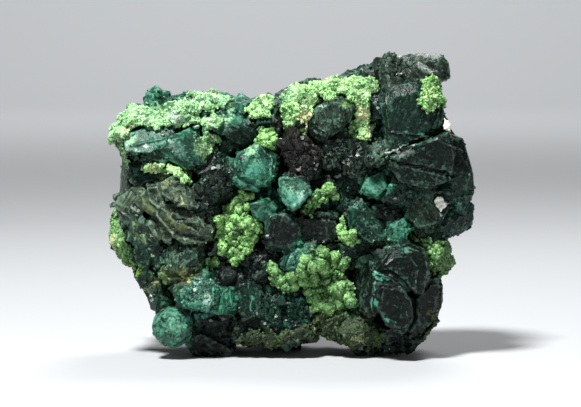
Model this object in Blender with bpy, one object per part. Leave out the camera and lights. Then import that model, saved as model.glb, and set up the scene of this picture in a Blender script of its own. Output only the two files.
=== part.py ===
"""A hand-sized mineral specimen: dark green blocky crystals grown into one mass, with apple green
bayldonite in crusts and clusters of small balls on them, and two pale grains.

The specimen stands upright on its broken lower edge. X runs to the right, Y away from the viewer
and Z up, and the origin is on the surface it stands on, under the middle of its box. Places and
sizes are written in millimetres and become metres where a mesh is made.
"""

import math
import random
from dataclasses import dataclass

import bmesh
import bpy
from mathutils import Euler, Matrix, Vector
from mathutils.bvhtree import BVHTree

MM = 0.001

# Driving dimensions
CORE_FRONT = -5.0
CORE_BACK = 12.5
CORE_INSET = 2.8
CORE_RIM = 4.0
CORE_INSET_MOST = 0.6
SEAT_GAP = 0.4
FLOOR_BLOCK = (120.0, 80.0, 20.0)

# How much of the triangles is kept, and how flat two faces are that become one
MASS_DETAIL = 0.49
CRUST_DETAIL = 0.46
FLAT_WITHIN = math.radians(0.3)

# How a crystal is cut: the faces round its front, as parts of its rim, how far its root lies
# towards the middle of the specimen, and how much larger it is than its outline
RIM_WIDTHS = (0.2, 1.8)
RIM_DEPTHS = (0.5, 1.9)
ROOT_LEAN = 0.12
CRYSTAL_GROWTH = 1.07
BLANK_SPARE = 1.0


@dataclass
class Crystal:
    """A crystal that faces the viewer. outline is its (x, z) corners, front is how far forward
    the middle of its front face is, slope is how fast that face falls back along x and z, rim
    is the width of the small faces round it, and length is how far back it goes."""

    outline: list
    front: float
    slope: tuple = (0.0, 0.0)
    rim: float = 0.9
    length: float = 9.0


# The edge of the whole specimen as the viewer sees it, from the upper left knob rightwards
OUTLINE = [
    (-28, 53.2), (-26.8, 54.2), (-25.6, 53.4), (-24.4, 51.6), (-22, 51), (-19, 53.2),
    (-14.2, 53.2), (-10.6, 51.4), (-7.6, 51.4), (-5.2, 53.2), (-3.2, 52.8), (-2.4, 51.2),
    (0.4, 54), (4.4, 55.8), (9, 55.8), (14.4, 58), (18.6, 59.2), (20, 61), (23.2, 59.6),
    (26, 60.6), (30.8, 60.4), (31.8, 59.6), (32.4, 56.6), (30.6, 55), (31.2, 50.6),
    (32.4, 45.4), (34.8, 44), (36, 40.6), (37, 35.6), (36.8, 26.6), (35.4, 25.2), (32.8, 24.4),
    (33, 22.6), (31.8, 16), (30.6, 10.6), (29.8, 8), (26.4, 3.6), (25.2, 1.6), (22.4, 1),
    (17.4, 0.8), (14.4, 1), (11.4, 2.4), (7.8, 3.2), (2.4, 1.6), (-4.6, 0.8), (-11.2, 1.2),
    (-14.6, 0), (-17.6, 0), (-20.4, 2.4), (-23.8, 2.2), (-27, 7.6), (-28.6, 10.6),
    (-30.6, 14.6), (-32.6, 18.6), (-35, 21.6), (-36, 24.6), (-37, 29), (-35.2, 31),
    (-33.6, 32.6), (-32.6, 34.6), (-34, 37.2), (-34.4, 43.6), (-33.2, 46), (-31.2, 49.6),
    (-29.6, 50), (-29.4, 51.6),
]

CRYSTALS = {
    # Upper right
    "upper right block": Crystal(
        [(18.4, 51.6), (20.8, 54), (25.4, 54.8), (30.4, 50), (31.8, 45.6), (27.4, 43), (22.4, 41),
         (20, 41.6), (19.2, 46.6)], -13.0, (0.12, -0.10), 1.3),
    "right slab": Crystal(
        [(21, 40.4), (25.4, 42.8), (31.6, 45.2), (32.8, 41.6), (32, 36), (27.4, 34.4),
         (22.4, 35.6), (20.8, 38)], -16.0, (0.10, 0.06), 0.7),
    "right slab flank": Crystal(
        [(31.0, 45.2), (34.8, 43.8), (36, 40.6), (36.8, 37.2), (32.4, 36.0)],
        -11.5, (0.75, 0.1), 0.8),
    "right teal block": Crystal(
        [(31, 34.6), (32.8, 36.8), (36.8, 36.8), (37, 33.2), (36, 31), (32.4, 31), (30.6, 32.4)],
        -11.0, (0.35, -0.15), 0.9),
    "right lower block": Crystal(
        [(29.6, 29.2), (34.8, 31.2), (37, 30.4), (36.8, 26.6), (34.8, 25), (32, 24),
         (29.6, 25.6)], -9.5, (0.30, -0.25), 1.0),
    "upper knob": Crystal(
        [(18.6, 52.6), (18.2, 57.6), (19.2, 60.2), (20.4, 61), (22.2, 60), (23.4, 58.8),
         (23, 54.6), (21.4, 52)], -9.5, (0.15, 0.25), 1.2),
    "top right knob": Crystal(
        [(23.2, 59.2), (26, 60.6), (30.8, 60.4), (32, 58.8), (32.4, 56), (30.4, 55), (27.4, 55.6),
         (24.8, 57.2)], -7.0, (0.20, 0.30), 1.2),
    "small knob": Crystal(
        [(23.2, 57.6), (24.8, 58), (27.2, 57.6), (27.8, 56), (26, 54.8), (23.6, 55.2)],
        -9.5, (0.1, 0.1), 0.7),
    "dark wing": Crystal(
        [(9.4, 55.6), (11.4, 56.8), (14.4, 58), (17.4, 58.8), (18.8, 58), (19.2, 54.8),
         (12.4, 54.4)], -4.5, (0.05, 0.5), 0.6),
    # Upper middle
    "framed block": Crystal(
        [(5.6, 50), (8.4, 51.6), (10.6, 52.4), (12.6, 50.8), (12.4, 48), (10.4, 46), (6.8, 43.6),
         (4.4, 44.8), (4, 47.2)], -11.5, (-0.15, -0.20), 1.0),
    "brown drusy block": Crystal(
        [(-1.2, 43.6), (2.4, 44.4), (6, 41.6), (6, 37.2), (3.4, 35.6), (0.4, 38.6)],
        -13.0, (0.25, 0.10), 1.0),
    "upper drusy block": Crystal(
        [(6, 43.6), (11.4, 45.6), (12.8, 41.6), (10.4, 38), (6.8, 38.6)], -10.0, (-0.2, 0.2), 1.0),
    "middle drusy block": Crystal(
        [(11.4, 43.6), (16.8, 43), (17.4, 38.6), (14.4, 35.6), (11.4, 37.2)],
        -11.0, (0.2, 0.25), 1.0),
    "grey block": Crystal(
        [(16.2, 42.4), (20, 43.6), (21, 40.6), (18.4, 38.9), (15.6, 39.6)], -13.5, (0.1, 0.45)),
    "teal plate": Crystal(
        [(15.4, 36.2), (18.8, 37.4), (19.8, 34.6), (17.4, 32.2), (14.4, 33.2)],
        -12.0, (-0.2, 0.25), 0.5),
    "teal pointed crystal": Crystal(
        [(-1.8, 35.6), (0.4, 37.2), (3, 36.2), (4.6, 33.6), (2.4, 31), (0.8, 29.8), (-1.0, 31.6)],
        -14.5, (-0.10, 0.28), 0.6),
    "white edged block": Crystal(
        [(-11.4, 39.6), (-5.2, 43.4), (-2.2, 40), (-3.2, 35.6), (-6, 33.6), (-9.6, 34.4),
         (-12, 37.2)], -13.0, (0.22, 0.18), 0.8),
    "upper middle block top": Crystal(
        [(-16.2, 48.6), (-14.6, 50.6), (-11.2, 50.2), (-8.6, 47.6), (-10, 45.6), (-13.2, 44.6),
         (-15.2, 46)], -10.5, (0.1, 0.65), 0.5),
    "upper middle block front": Crystal(
        [(-13.2, 44.8), (-8.2, 47.2), (-5.0, 43.6), (-8.6, 41.2), (-12, 40),
         (-13.8, 41.6)], -9.5, (0.15, -0.35), 0.7),
    # Upper left
    "upper left knob": Crystal(
        [(-29.2, 49), (-28.4, 52.8), (-26.6, 54.2), (-25.2, 53.2), (-23.8, 50.4), (-25.2, 46.6),
         (-28.2, 46.6)], -7.0, (0.35, 0.15), 1.2),
    "upper left roof": Crystal(
        [(-32.2, 44.8), (-26, 47), (-18, 48.6), (-18.2, 46), (-27.6, 41.4), (-32, 41.8)],
        -11.5, (0.0, 0.75), 0.4),
    "upper left face": Crystal(
        [(-28.2, 41.6), (-23.8, 43.8), (-18, 46.4), (-16.9, 39.6), (-19.4, 38), (-22, 38.8)],
        -12.5, (-0.12, -0.35), 0.5),
    "upper left grey grain": Crystal(
        [(-29.4, 40.6), (-25.6, 41.8), (-23.6, 40), (-25.2, 38.4), (-28.8, 39)],
        -12.0, (-0.1, 0.3), 0.7),
    "left green block": Crystal(
        [(-31.8, 38.8), (-27.6, 39.4), (-24.2, 37.4), (-25.2, 35.4), (-29.6, 34), (-31.6, 35.4)],
        -9.5, (-0.25, 0.2), 0.7),
    "grey grain cluster": Crystal(
        [(-17, 38.6), (-13.2, 41.4), (-10.8, 38.6), (-11.6, 34.6), (-14.6, 31.8), (-17.4, 33.8)],
        -12.5, (0.2, 0.15), 1.0),
    # Left: plates that lean over each other
    "brown wedge": Crystal(
        [(-25.2, 35.2), (-22.6, 36.8), (-19.4, 33.6), (-17.6, 30), (-21.6, 30.8), (-24.8, 33)],
        -14.5, (0.30, 0.35), 0.4),
    "second plate": Crystal(
        [(-27.8, 34.6), (-25.0, 35.4), (-24.4, 32.4), (-26.4, 28.8), (-28.8, 29.8), (-29.4, 32.4)],
        -12.5, (-0.20, 0.25), 0.5),
    "third plate": Crystal(
        [(-33.6, 32.2), (-29.6, 34.6), (-27.4, 32), (-28.4, 29.2), (-32, 28.9), (-34.9, 30.4)],
        -10.5, (-0.45, 0.25), 0.6),
    "fourth plate": Crystal(
        [(-25.8, 31.4), (-21.6, 30.9), (-17.4, 29.4), (-16.8, 27.0), (-20.6, 25.4), (-23.6, 25.8),
         (-26, 28.6)], -14.0, (0.10, 0.40), 0.5),
    "fifth plate": Crystal(
        [(-22, 27.6), (-17.6, 27.8), (-15.4, 26), (-16.4, 23.6), (-20.6, 23.2), (-22.8, 25)],
        -15.5, (0.25, -0.30), 0.5),
    "sixth plate": Crystal(
        [(-27.8, 28.8), (-25.4, 29.2), (-22.8, 25.6), (-23.4, 23.2), (-26.2, 23.8), (-28.2, 26.6)],
        -13.0, (-0.25, 0.20), 0.5),
    "seventh plate": Crystal(
        [(-34.2, 29.4), (-29.6, 29.6), (-27.4, 26.6), (-26.4, 23.4), (-29.6, 23.2), (-32.8, 26.4)],
        -10.5, (-0.40, -0.05), 0.6),
    "eighth plate": Crystal(
        [(-27.8, 24), (-25, 24), (-24.2, 19.2), (-26.4, 17.8), (-27.8, 20.4)],
        -11.0, (-0.15, -0.15), 0.6),
    "dark grain column": Crystal(
        [(-18.8, 34.8), (-15.4, 34), (-13.8, 29.6), (-15.4, 26.2), (-17.8, 28.4), (-18.9, 31.6)],
        -12.0, (0.25, 0.1), 0.8),
    # Lower left
    "teal pillar": Crystal(
        [(-30.6, 24), (-27.6, 24.6), (-26.8, 20.6), (-27.8, 18), (-29.6, 18), (-30.8, 20.6)],
        -10.5, (-0.25, -0.2), 0.7),
    "grey green dome": Crystal(
        [(-24.6, 21.6), (-21.6, 23.8), (-18.4, 22.4), (-17.8, 19.2), (-20.6, 16.9), (-24, 17.8)],
        -14.5, (0.05, 0.10), 1.4),
    "olive band": Crystal(
        [(-25.8, 17.2), (-22.6, 18.6), (-17.6, 18.2), (-15.8, 16.8), (-19.6, 15.4), (-24.2, 15.3)],
        -13.0, (0.1, 0.2), 0.6),
    "teal drusy block": Crystal(
        [(-22.3, 15.4), (-18.6, 16.6), (-14.6, 15.8), (-13.8, 12.6), (-16.4, 10.2), (-20.6, 10.7),
         (-22.3, 13)], -15.0, (0.2, 0.35), 0.9),
    "dark round crystal": Crystal(
        [(-27.8, 14), (-26, 15.4), (-24, 13.8), (-23.2, 11.2), (-25.4, 8.9), (-27.4, 10)],
        -12.0, (-0.2, 0.1), 1.1),
    "teal rough block": Crystal(
        [(-15.4, 13.4), (-12.6, 14.8), (-9.8, 13.4), (-10.4, 10.4), (-14.6, 9.7)],
        -12.5, (0.1, 0.35), 0.7),
    "light edged pillar": Crystal(
        [(-9.8, 14.8), (-6.6, 15.4), (-5.4, 13.6), (-5.4, 9.2), (-8.6, 7.8), (-10.2, 10.6)],
        -12.5, (-0.15, 0.05), 0.5),
    "low dark block": Crystal(
        [(-18.6, 8.8), (-14.6, 9.7), (-10.4, 8.8), (-10.4, 2.6), (-14.6, 1.2), (-18.2, 3.0)],
        -9.0, (0.05, -0.45), 0.6),
    "low middle block": Crystal(
        [(-10.8, 8.2), (-5, 8.8), (-3.4, 5.6), (-7.6, 3.6), (-10.6, 3.2)],
        -11.0, (0.1, 0.25), 0.6),
    "mid left dark block": Crystal(
        [(-14.8, 18.8), (-9.6, 17.9), (-7.4, 15), (-10, 13.2), (-14.2, 14.4)],
        -10.5, (0.1, 0.25), 0.8),
    "left foot": Crystal(
        [(-20.6, 2.8), (-17.6, 4.8), (-11.0, 1.4), (-13.4, -1.2), (-17.8, -1.2)],
        -9.0, (0.0, -0.3), 0.5),
    # Centre
    "blue teal block": Crystal(
        [(-7.8, 31), (-4, 32.2), (-2.2, 30), (-4.4, 27.4), (-6.6, 28)],
        -13.5, (0.2, -0.25), 0.5),
    "centre dark block": Crystal(
        [(-4.4, 28.6), (0, 29.2), (2.6, 27.2), (2.6, 23.6), (-0.6, 21.4), (-4.4, 22.2)],
        -13.0, (0.05, -0.15), 0.8),
    "centre smooth block": Crystal(
        [(2.2, 27.2), (6, 29.4), (9.8, 29), (9.8, 24.4), (6, 22.6), (2.8, 23.6)],
        -11.0, (0.12, -0.10), 0.7),
    "centre teal block": Crystal(
        [(-1.4, 20), (2.4, 23.4), (5.6, 23.8), (5.2, 19.2), (2, 17.4), (-1.4, 18.2)],
        -12.5, (-0.1, 0.3), 0.6),
    "centre left dark block": Crystal(
        [(-7.8, 20.8), (-4.6, 21.6), (-1.4, 20.6), (-1.8, 17), (-5.2, 14.9), (-7.8, 16.4)],
        -11.0, (0.0, 0.25), 0.9),
    "diagonal bar": Crystal(
        [(11.2, 30.8), (14.8, 31.8), (19.6, 24.8), (16.8, 22.8), (12.4, 26)],
        -12.5, (-0.1, 0.2), 0.8),
    "diagonal dark block": Crystal(
        [(16.6, 30.8), (21.4, 31.8), (23.6, 28.6), (20.8, 25), (18.2, 26.4)],
        -11.0, (0.1, 0.25), 0.9),
    "small teal block": Crystal(
        [(20.2, 26.4), (23.2, 28.4), (24.6, 26), (22.8, 23.4), (19.8, 23.8)],
        -12.5, (0.1, 0.35), 0.5),
    "right grey teal block": Crystal(
        [(23.8, 31.8), (27.4, 32.8), (30.6, 30.6), (30.2, 27), (26.4, 26.2), (23.8, 28.4)],
        -12.0, (0.2, 0.15), 0.8),
    "right drusy block": Crystal(
        [(20.6, 34.8), (27.4, 34.6), (30.6, 33.4), (27.4, 31.4), (22.4, 30.4), (19.2, 31.8)],
        -13.0, (0.1, -0.35), 0.8),
    "dark long block": Crystal(
        [(9.8, 22.8), (14.4, 24.2), (18.6, 23.2), (17.6, 19.8), (12.4, 18.5), (9.8, 20.2)],
        -10.0, (0.1, -0.25), 0.8),
    "low left druse": Crystal(
        [(-5.4, 11.8), (-2.6, 12.8), (-0.4, 10.6), (-1.4, 7), (-4.8, 6.4)],
        -12.5, (0.1, 0.15), 1.0),
    "low right druse": Crystal(
        [(-0.8, 12.2), (2.4, 12.6), (4.2, 9.2), (2.6, 5.8), (-0.8, 7)],
        -12.0, (0.0, 0.15), 1.0),
    "low bottom block": Crystal(
        [(-4.8, 6.8), (3.8, 7.4), (5.4, 4.8), (1.0, 2.4), (-4.4, 2.0)], -11.5, (0.0, -0.2), 0.6),
    "low upper druse": Crystal(
        [(-5.4, 15), (-0.6, 15.2), (2.6, 13.4), (-0.6, 11.4), (-4.8, 11.7)],
        -11.0, (0.0, 0.3), 0.7),
    # Lower right
    "lower right upper crystal": Crystal(
        [(16.8, 19.2), (19.4, 22.2), (23.4, 23.2), (27.2, 21.8), (28, 17.2), (26.4, 13.8),
         (23.4, 14.1), (20.4, 16.2)], -16.5, (0.12, 0.30), 1.1),
    "lower right lower crystal": Crystal(
        [(16.8, 17.4), (19.4, 17), (22.2, 15.4), (24.6, 11.6), (24.2, 8), (22.4, 6), (19.4, 7.8),
         (17.2, 11.6)], -18.0, (0.10, 0.06), 0.9),
    "lower right left flank": Crystal(
        [(14.4, 14.6), (16.2, 19.6), (18.2, 17.6), (18.2, 10.2), (16, 8.6), (14.2, 10.4)],
        -15.5, (-0.9, 0.0), 0.6),
    "lower right edge crystal": Crystal(
        [(24, 12.4), (27.0, 16.0), (30.4, 15.6), (30.8, 11.6), (29.6, 7.8), (26.8, 5.4),
         (24.2, 4.4), (23, 7.2)], -13.0, (0.35, -0.05), 1.2),
    "lower right floor block": Crystal(
        [(18.8, 6), (22.4, 6.6), (26.6, 5.6), (26.6, 3.4), (25.2, 1.5), (22.4, 0.9), (19.6, 1.3)],
        -11.0, (0.1, -0.45), 0.6),
    "right foot": Crystal(
        [(12.8, 1.6), (14.4, 4), (17.8, 3.6), (19.2, 1.4), (17.0, -1.2), (14.6, -1.2)],
        -8.0, (0.0, -0.3), 0.5),
    "lower bottom block": Crystal(
        [(6, 8), (10, 9), (15, 8.4), (15.6, 4), (11, 2.4), (6.6, 4.4)], -9.0, (0.1, -0.4), 0.8),
}

# The rounded crystal low on the left: middle, radius and how uneven it is
BALL_MIDDLE = (-23.0, -11.5, 6.4)
BALL_RADIUS = 4.25
BALL_UNEVEN = 0.05

# Broken planes that cut the back of the core: a point on each and which way it faces
CORE_BREAKS = [
    ((-20, 12, 30), (-0.35, 1, 0.1)), ((-6, 12.5, 44), (-0.1, 1, 0.4)),
    ((14, 12.5, 40), (0.2, 1, 0.25)), ((24, 11.5, 24), (0.5, 1, -0.05)),
    ((2, 12, 12), (0.05, 1, -0.35)), ((-22, 10.5, 12), (-0.4, 1, -0.3)),
]

# Rough blocks on the broken sides and back, and small ones between the crystals in front
ROUGH_SEED = 7
BLOCK_CUTS = 4
CUT_REACH = (0.66, 0.86)
CUT_TILT = 0.02
SCATTER = 0.2
ROW_STEP = 0.87
DRAW_STEP = 0.4
DRAW_STEPS = 20
RIM_BLOCK_SIZE = (5.0, 8.5)
RIM_BLOCKS_Y = (6.5, -1.0, 9.5, 3.0)
RIM_SPACING = 4.0
RIM_TURN = 40
BACK_BLOCK_SIZE = (7.0, 12.0)
BACK_SPACING = 8.5
BACK_SUNK = 0.32
BACK_TURN = 35
FRONT_BLOCK_SIZE = (3.8, 6.0)
FRONT_SPACING = 4.3
FRONT_DEEP = -8.5
FRONT_BACKING = -6.0
FRONT_OUT = (0.0, 1.2)
FRONT_TURN = 45
BACK_FOOT_MIDDLE = (-1.6, 8.5, 4.0)
BACK_FOOT_SIZE = (7.0, 10.0, 11.0)
BACK_FOOT_TURN = 0.2
BACK_FOOT_CUTS = 2


@dataclass
class Crust:
    """Bayldonite grown on the crystals. spots are its (x, z, radius) patches as the viewer sees
    them, and view is the direction in which its sheet is draped on the crystals."""

    spots: list
    view: tuple = (0.0, 1.0, 0.0)


CRUST_AIM_Y = -9.0
CRUST_DEEPEST_Y = -2.0
DROP_FROM = 80.0
CRUST_GRID = 1.15
CRUST_LEAST = 1.15
CRUST_SLOPE = 1.1
CRUST_SUNK = 0.5
CRUST_BACK = 1.3
CRUST_THICKEST = 3.2
BALL_REACH = 2
NEIGHBOURS_WITHIN = 3.4
BRIDGE_WIDTH = 0.8
DOME_SPREAD = 1.2
DOME_HEIGHT = 0.9
SMALL_DOMES = 3
SMALL_DOME_OUT = (0.6, 1.0)
SMALL_DOME_SIZE = (0.45, 0.7)
SMALL_DOME_HEIGHT = 1.3

CRUSTS = {
    "bayldonite_crust_upper_left": Crust(
        [(-33.2, 46, 1.7), (-31.2, 48, 2.1), (-29.2, 48.4, 1.8), (-26.5, 46.9, 1.4),
         (-24.6, 48.6, 1.9), (-22, 49.4, 2.0), (-19.6, 49.2, 2.0), (-17.6, 50.6, 2.0),
         (-14.8, 51.4, 1.8), (-12.8, 51.0, 1.3), (-17.4, 47.2, 1.7),
         (-17.2, 44.8, 1.4), (-17.2, 42.4, 1.3), (-17.2, 40.6, 1.2), (-15.2, 46.4, 1.6),
         (-14.4, 44.8, 1.3)], (0.0, 0.92, -0.38)),
    "bayldonite_cluster_top": Crust(
        [(-6.4, 49.8, 1.5), (-5.2, 51.0, 1.6), (-4.6, 49.4, 1.3), (-5.4, 48.4, 1.2)],
        (0.0, 0.92, -0.38)),
    "bayldonite_nodules_upper": Crust([(-5.4, 45.6, 1.3), (-4.2, 43.6, 1.5)]),
    "bayldonite_crust_top": Crust(
        [(0.2, 47.4, 1.7), (1.0, 50, 2.1), (1.6, 52.6, 2.0), (3.4, 51.8, 2.0), (3.6, 48.8, 1.6),
         (3.0, 46.2, 1.4), (6, 53.6, 2.0), (8.4, 53.8, 1.9), (10.8, 54, 1.8), (13, 54, 1.9),
         (15.2, 54, 1.9), (17, 54, 1.3), (14, 51.6, 1.6), (15.2, 49.6, 1.6), (14.6, 47.4, 1.7),
         (15.2, 45, 1.5)], (0.0, 0.95, -0.31)),
    "bayldonite_nodule_upper_right": Crust(
        [(28, 54.0, 1.9), (27.6, 51.6, 1.9), (29.2, 52.8, 1.6)], (-0.2, 0.97, -0.1)),
    "bayldonite_crust_left_upper": Crust(
        [(-33.2, 42.8, 1.3), (-33.2, 40.4, 1.2), (-33.0, 38.0, 1.2)], (0.45, 0.89, 0.0)),
    "bayldonite_band_left": Crust(
        [(-28.2, 38.6, 1.0), (-26.2, 38.4, 1.0), (-24.2, 38.0, 1.1), (-22.4, 37.0, 1.2),
         (-20.6, 35.6, 1.1)]),
    "bayldonite_crust_left_edge": Crust(
        [(-35.0, 28.4, 1.3), (-34.4, 26, 1.7), (-33.6, 24, 1.9), (-32.8, 22, 1.8),
         (-31.8, 20.2, 1.6), (-30.8, 18.4, 1.5), (-29.2, 16.8, 1.5), (-29.2, 14.6, 1.2)],
        (0.55, 0.83, 0.0)),
    "bayldonite_cluster_left": Crust(
        [(-8.6, 31.4, 1.6), (-9.8, 29.6, 1.8), (-12.4, 29.6, 1.7), (-11.2, 27.2, 1.8),
         (-8.4, 27.2, 1.8), (-13.4, 27.2, 1.5), (-7.8, 24.6, 1.7), (-10.2, 24, 1.8),
         (-13, 23.8, 1.7), (-11.4, 21.8, 1.6), (-8.8, 21.8, 1.4), (-11.2, 19.8, 1.5)]),
    "bayldonite_nodule_left": Crust([(-15.6, 18.8, 1.2)]),
    "bayldonite_nodules_centre": Crust(
        [(8.4, 33, 1.4), (6.2, 32.2, 1.3), (4.8, 30.6, 1.4), (4.2, 28.8, 1.2)]),
    "bayldonite_cluster_centre": Crust(
        [(10.6, 27, 1.3), (11, 25, 1.4), (12.4, 25, 1.3), (11.4, 23.4, 1.2)]),
    "bayldonite_cluster_lower": Crust(
        [(-2.6, 16.4, 1.6), (-0.4, 15.4, 1.4), (1.8, 15.6, 1.5), (3.6, 17.4, 1.6),
         (5.8, 19.6, 1.8), (5.6, 22, 1.2), (8.2, 19.4, 1.6), (10.2, 18.6, 1.4), (9.4, 16.4, 1.7),
         (7.2, 14.8, 1.8), (4.8, 13.4, 1.4), (9, 13, 1.7), (11.6, 14.2, 1.5), (12.2, 12.2, 1.3),
         (6.2, 11, 1.7)]),
    "bayldonite_crust_lower_right": Crust(
        [(8.6, 6.4, 1.4), (10.6, 7.4, 1.6), (11.4, 5.2, 1.5), (13.0, 7.2, 1.5), (13.8, 4.8, 1.6),
         (15.6, 6.0, 1.6), (16.4, 3.8, 1.5), (18.2, 4.6, 1.4)]),
    "bayldonite_crust_bottom": Crust(
        [(-6.6, 4.6, 1.4), (-4.6, 4.8, 1.5), (-2.6, 4.0, 1.4), (-0.6, 4.2, 1.3), (1.4, 4.6, 1.4),
         (3.4, 5.2, 1.4)]),
    "bayldonite_crust_right_edge": Crust(
        [(26.6, 23.6, 1.3), (28.6, 22.2, 1.5), (29.8, 20, 1.7), (31.2, 21.4, 1.4),
         (29.8, 17.8, 1.5), (31.2, 18.8, 1.4)], (-0.35, 0.94, 0.0)),
    "bayldonite_rim_lower_right": Crust(
        [(29.0, 7.2, 1.2), (27.8, 5.2, 1.1), (26.6, 3.8, 1.0)], (-0.5, 0.8, 0.3)),
}

# Pale grains on the right
GRAINS = {
    "pale_grain_right": Crystal(
        [(28.6, 32.9), (30.4, 33.1), (31.6, 30.8), (30.4, 29.6), (29.2, 31.0)],
        -12.6, (0.1, 0.1), 0.5, 6.0),
    "pale_grain_upper": Crystal(
        [(31.0, 48.2), (32.4, 46.8), (32.3, 45.2), (30.8, 45.2)], -12.8, (0.2, 0.1), 0.35, 3.0),
}

GREEN_CRYSTAL = ((0.012, 0.045, 0.032), 0.45)
BAYLDONITE = ((0.30, 0.55, 0.13), 0.75)
PALE_MINERAL = ((0.72, 0.76, 0.62), 0.6)


def clear_scene():
    for obj in list(bpy.data.objects):
        bpy.data.objects.remove(obj)


def material(name, look):
    colour, roughness = look
    made = bpy.data.materials.new(name)
    made.use_nodes = True
    shader = made.node_tree.nodes["Principled BSDF"]
    shader.inputs["Base Color"].default_value = (*colour, 1.0)
    shader.inputs["Roughness"].default_value = roughness
    shader.inputs["Metallic"].default_value = 0.0
    return made


def add_object(name, bm, finish=None):
    """Makes an object of a mesh in millimetres, and frees that mesh."""
    bmesh.ops.triangulate(bm, faces=bm.faces)
    bmesh.ops.recalc_face_normals(bm, faces=bm.faces)
    bmesh.ops.scale(bm, vec=(MM, MM, MM), verts=bm.verts)
    mesh = bpy.data.meshes.new(name)
    bm.to_mesh(mesh)
    bm.free()
    obj = bpy.data.objects.new(name, mesh)
    bpy.context.scene.collection.objects.link(obj)
    if finish:
        mesh.materials.append(finish)
    return obj


def swell(bm, distance):
    """Moves every face of a mesh outwards by a distance."""
    bmesh.ops.recalc_face_normals(bm, faces=bm.faces)
    moves = [(v, v.normal * v.calc_shell_factor() * distance) for v in bm.verts]
    for vertex, move in moves:
        vertex.co += move


def inset_point(point, middle, distance):
    """A point moved towards the middle of its outline."""
    towards = middle - point
    return point + towards.normalized() * min(distance, CORE_INSET_MOST * towards.length)


def cleave(bm, point, normal):
    """Cuts away what lies beyond a plane and closes the cut with a flat face."""
    geometry = bm.verts[:] + bm.edges[:] + bm.faces[:]
    bmesh.ops.bisect_plane(bm, geom=geometry, plane_co=point, plane_no=normal, clear_outer=True)
    bmesh.ops.holes_fill(bm, edges=[e for e in bm.edges if e.is_boundary], sides=0)


def middle_of(outline):
    return sum((Vector(p) for p in outline), Vector((0.0, 0.0))) / len(outline)


def loft_mesh(rings):
    """A closed mesh through rings of corners, from the first ring to the last."""
    bm = bmesh.new()
    made = [[bm.verts.new(point) for point in ring] for ring in rings]
    for near, far in zip(made, made[1:]):
        for i in range(len(near)):
            j = (i + 1) % len(near)
            bm.faces.new((near[i], near[j], far[j], far[i]))
    bm.faces.new(made[0])
    bm.faces.new(made[-1])
    return bm


def edge_plane(start, end, outward, width, depth, front_y):
    """The flat face along one edge of a crystal's front: a point on it and which way it faces."""
    inner = start - outward * width
    edge = Vector((end.x - start.x, front_y(end) - front_y(start), end.y - start.y))
    fall = front_y(inner) - front_y(start) - depth
    normal = edge.cross(Vector((-outward.x * width, fall, -outward.y * width))).normalized()
    if normal.dot(Vector((outward.x, -1.0, outward.y))) < 0:
        normal = -normal
    return (inner.x, front_y(inner), inner.y), normal


def crystal_mesh(crystal, name):
    """Walls from the outline back to a root nearer the middle of the specimen, a sloping front
    face, and one flat face of its own width along each edge of the front."""
    rng = random.Random(name)
    middle = middle_of(crystal.outline)
    corners = [middle.lerp(Vector(p), CRYSTAL_GROWTH) for p in crystal.outline]
    roots = [corner.lerp(middle_of(OUTLINE), ROOT_LEAN) for corner in corners]
    slope_x, slope_z = crystal.slope

    def front_y(point):
        return crystal.front + slope_x * (point.x - middle.x) + slope_z * (point.y - middle.y)

    fronts = [front_y(corner) for corner in corners]
    deepest = max(fronts)
    bm = loft_mesh([
        [(p.x, deepest + crystal.length, p.y) for p in roots],
        [(p.x, deepest + 2 * crystal.rim, p.y) for p in corners],
        [(p.x, min(fronts) - BLANK_SPARE, p.y) for p in corners],
    ])
    bmesh.ops.recalc_face_normals(bm, faces=bm.faces)
    cleave(bm, (middle.x, crystal.front, middle.y), Vector((slope_x, -1.0, slope_z)).normalized())
    for start, end in zip(corners, corners[1:] + corners[:1]):
        along = (end - start).normalized()
        outward = Vector((along.y, -along.x))
        if outward.dot(start - middle) < 0:
            outward = -outward
        width = crystal.rim * rng.uniform(*RIM_WIDTHS)
        depth = crystal.rim * rng.uniform(*RIM_DEPTHS)
        cleave(bm, *edge_plane(start, end, outward, width, depth, front_y))
    return bm


def core_mesh():
    """The mass behind the crystals: the outline drawn in, and broken planes across its back."""
    corners = [Vector(p) for p in OUTLINE]
    middle = middle_of(corners)
    levels = [
        (CORE_FRONT, CORE_INSET + CORE_RIM),
        (CORE_FRONT + CORE_RIM, CORE_INSET),
        (CORE_BACK - CORE_RIM, CORE_INSET),
        (CORE_BACK, CORE_INSET + CORE_RIM),
    ]
    rings = []
    for y, inset in levels:
        drawn = [inset_point(corner, middle, inset) for corner in corners]
        rings.append([(p.x, y, p.y) for p in drawn])
    bm = loft_mesh(rings)
    bmesh.ops.recalc_face_normals(bm, faces=bm.faces)
    for point, normal in CORE_BREAKS:
        cleave(bm, point, Vector(normal).normalized())
    return bm


def block_mesh(size, turn, middle, rng, cuts=BLOCK_CUTS):
    """A broken block: a cuboid with some of its corners and edges cleaved off."""
    bm = bmesh.new()
    bmesh.ops.create_cube(bm, size=1.0)
    bmesh.ops.scale(bm, vec=size, verts=bm.verts)
    for _ in range(cuts):
        signs = [rng.choice((-1, 0, 1)) for _ in range(3)]
        if signs.count(0) > 1:
            signs = [rng.choice((-1, 1)) for _ in range(3)]
        corner = Vector([sign * side / 2 for sign, side in zip(signs, size)])
        normal = Vector([sign / side + rng.uniform(-CUT_TILT, CUT_TILT)
                         for sign, side in zip(signs, size)])
        cleave(bm, corner * rng.uniform(*CUT_REACH), normal.normalized())
    placed = Matrix.Translation(middle) @ turn.to_matrix().to_4x4()
    bmesh.ops.transform(bm, matrix=placed, verts=bm.verts)
    return bm


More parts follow.
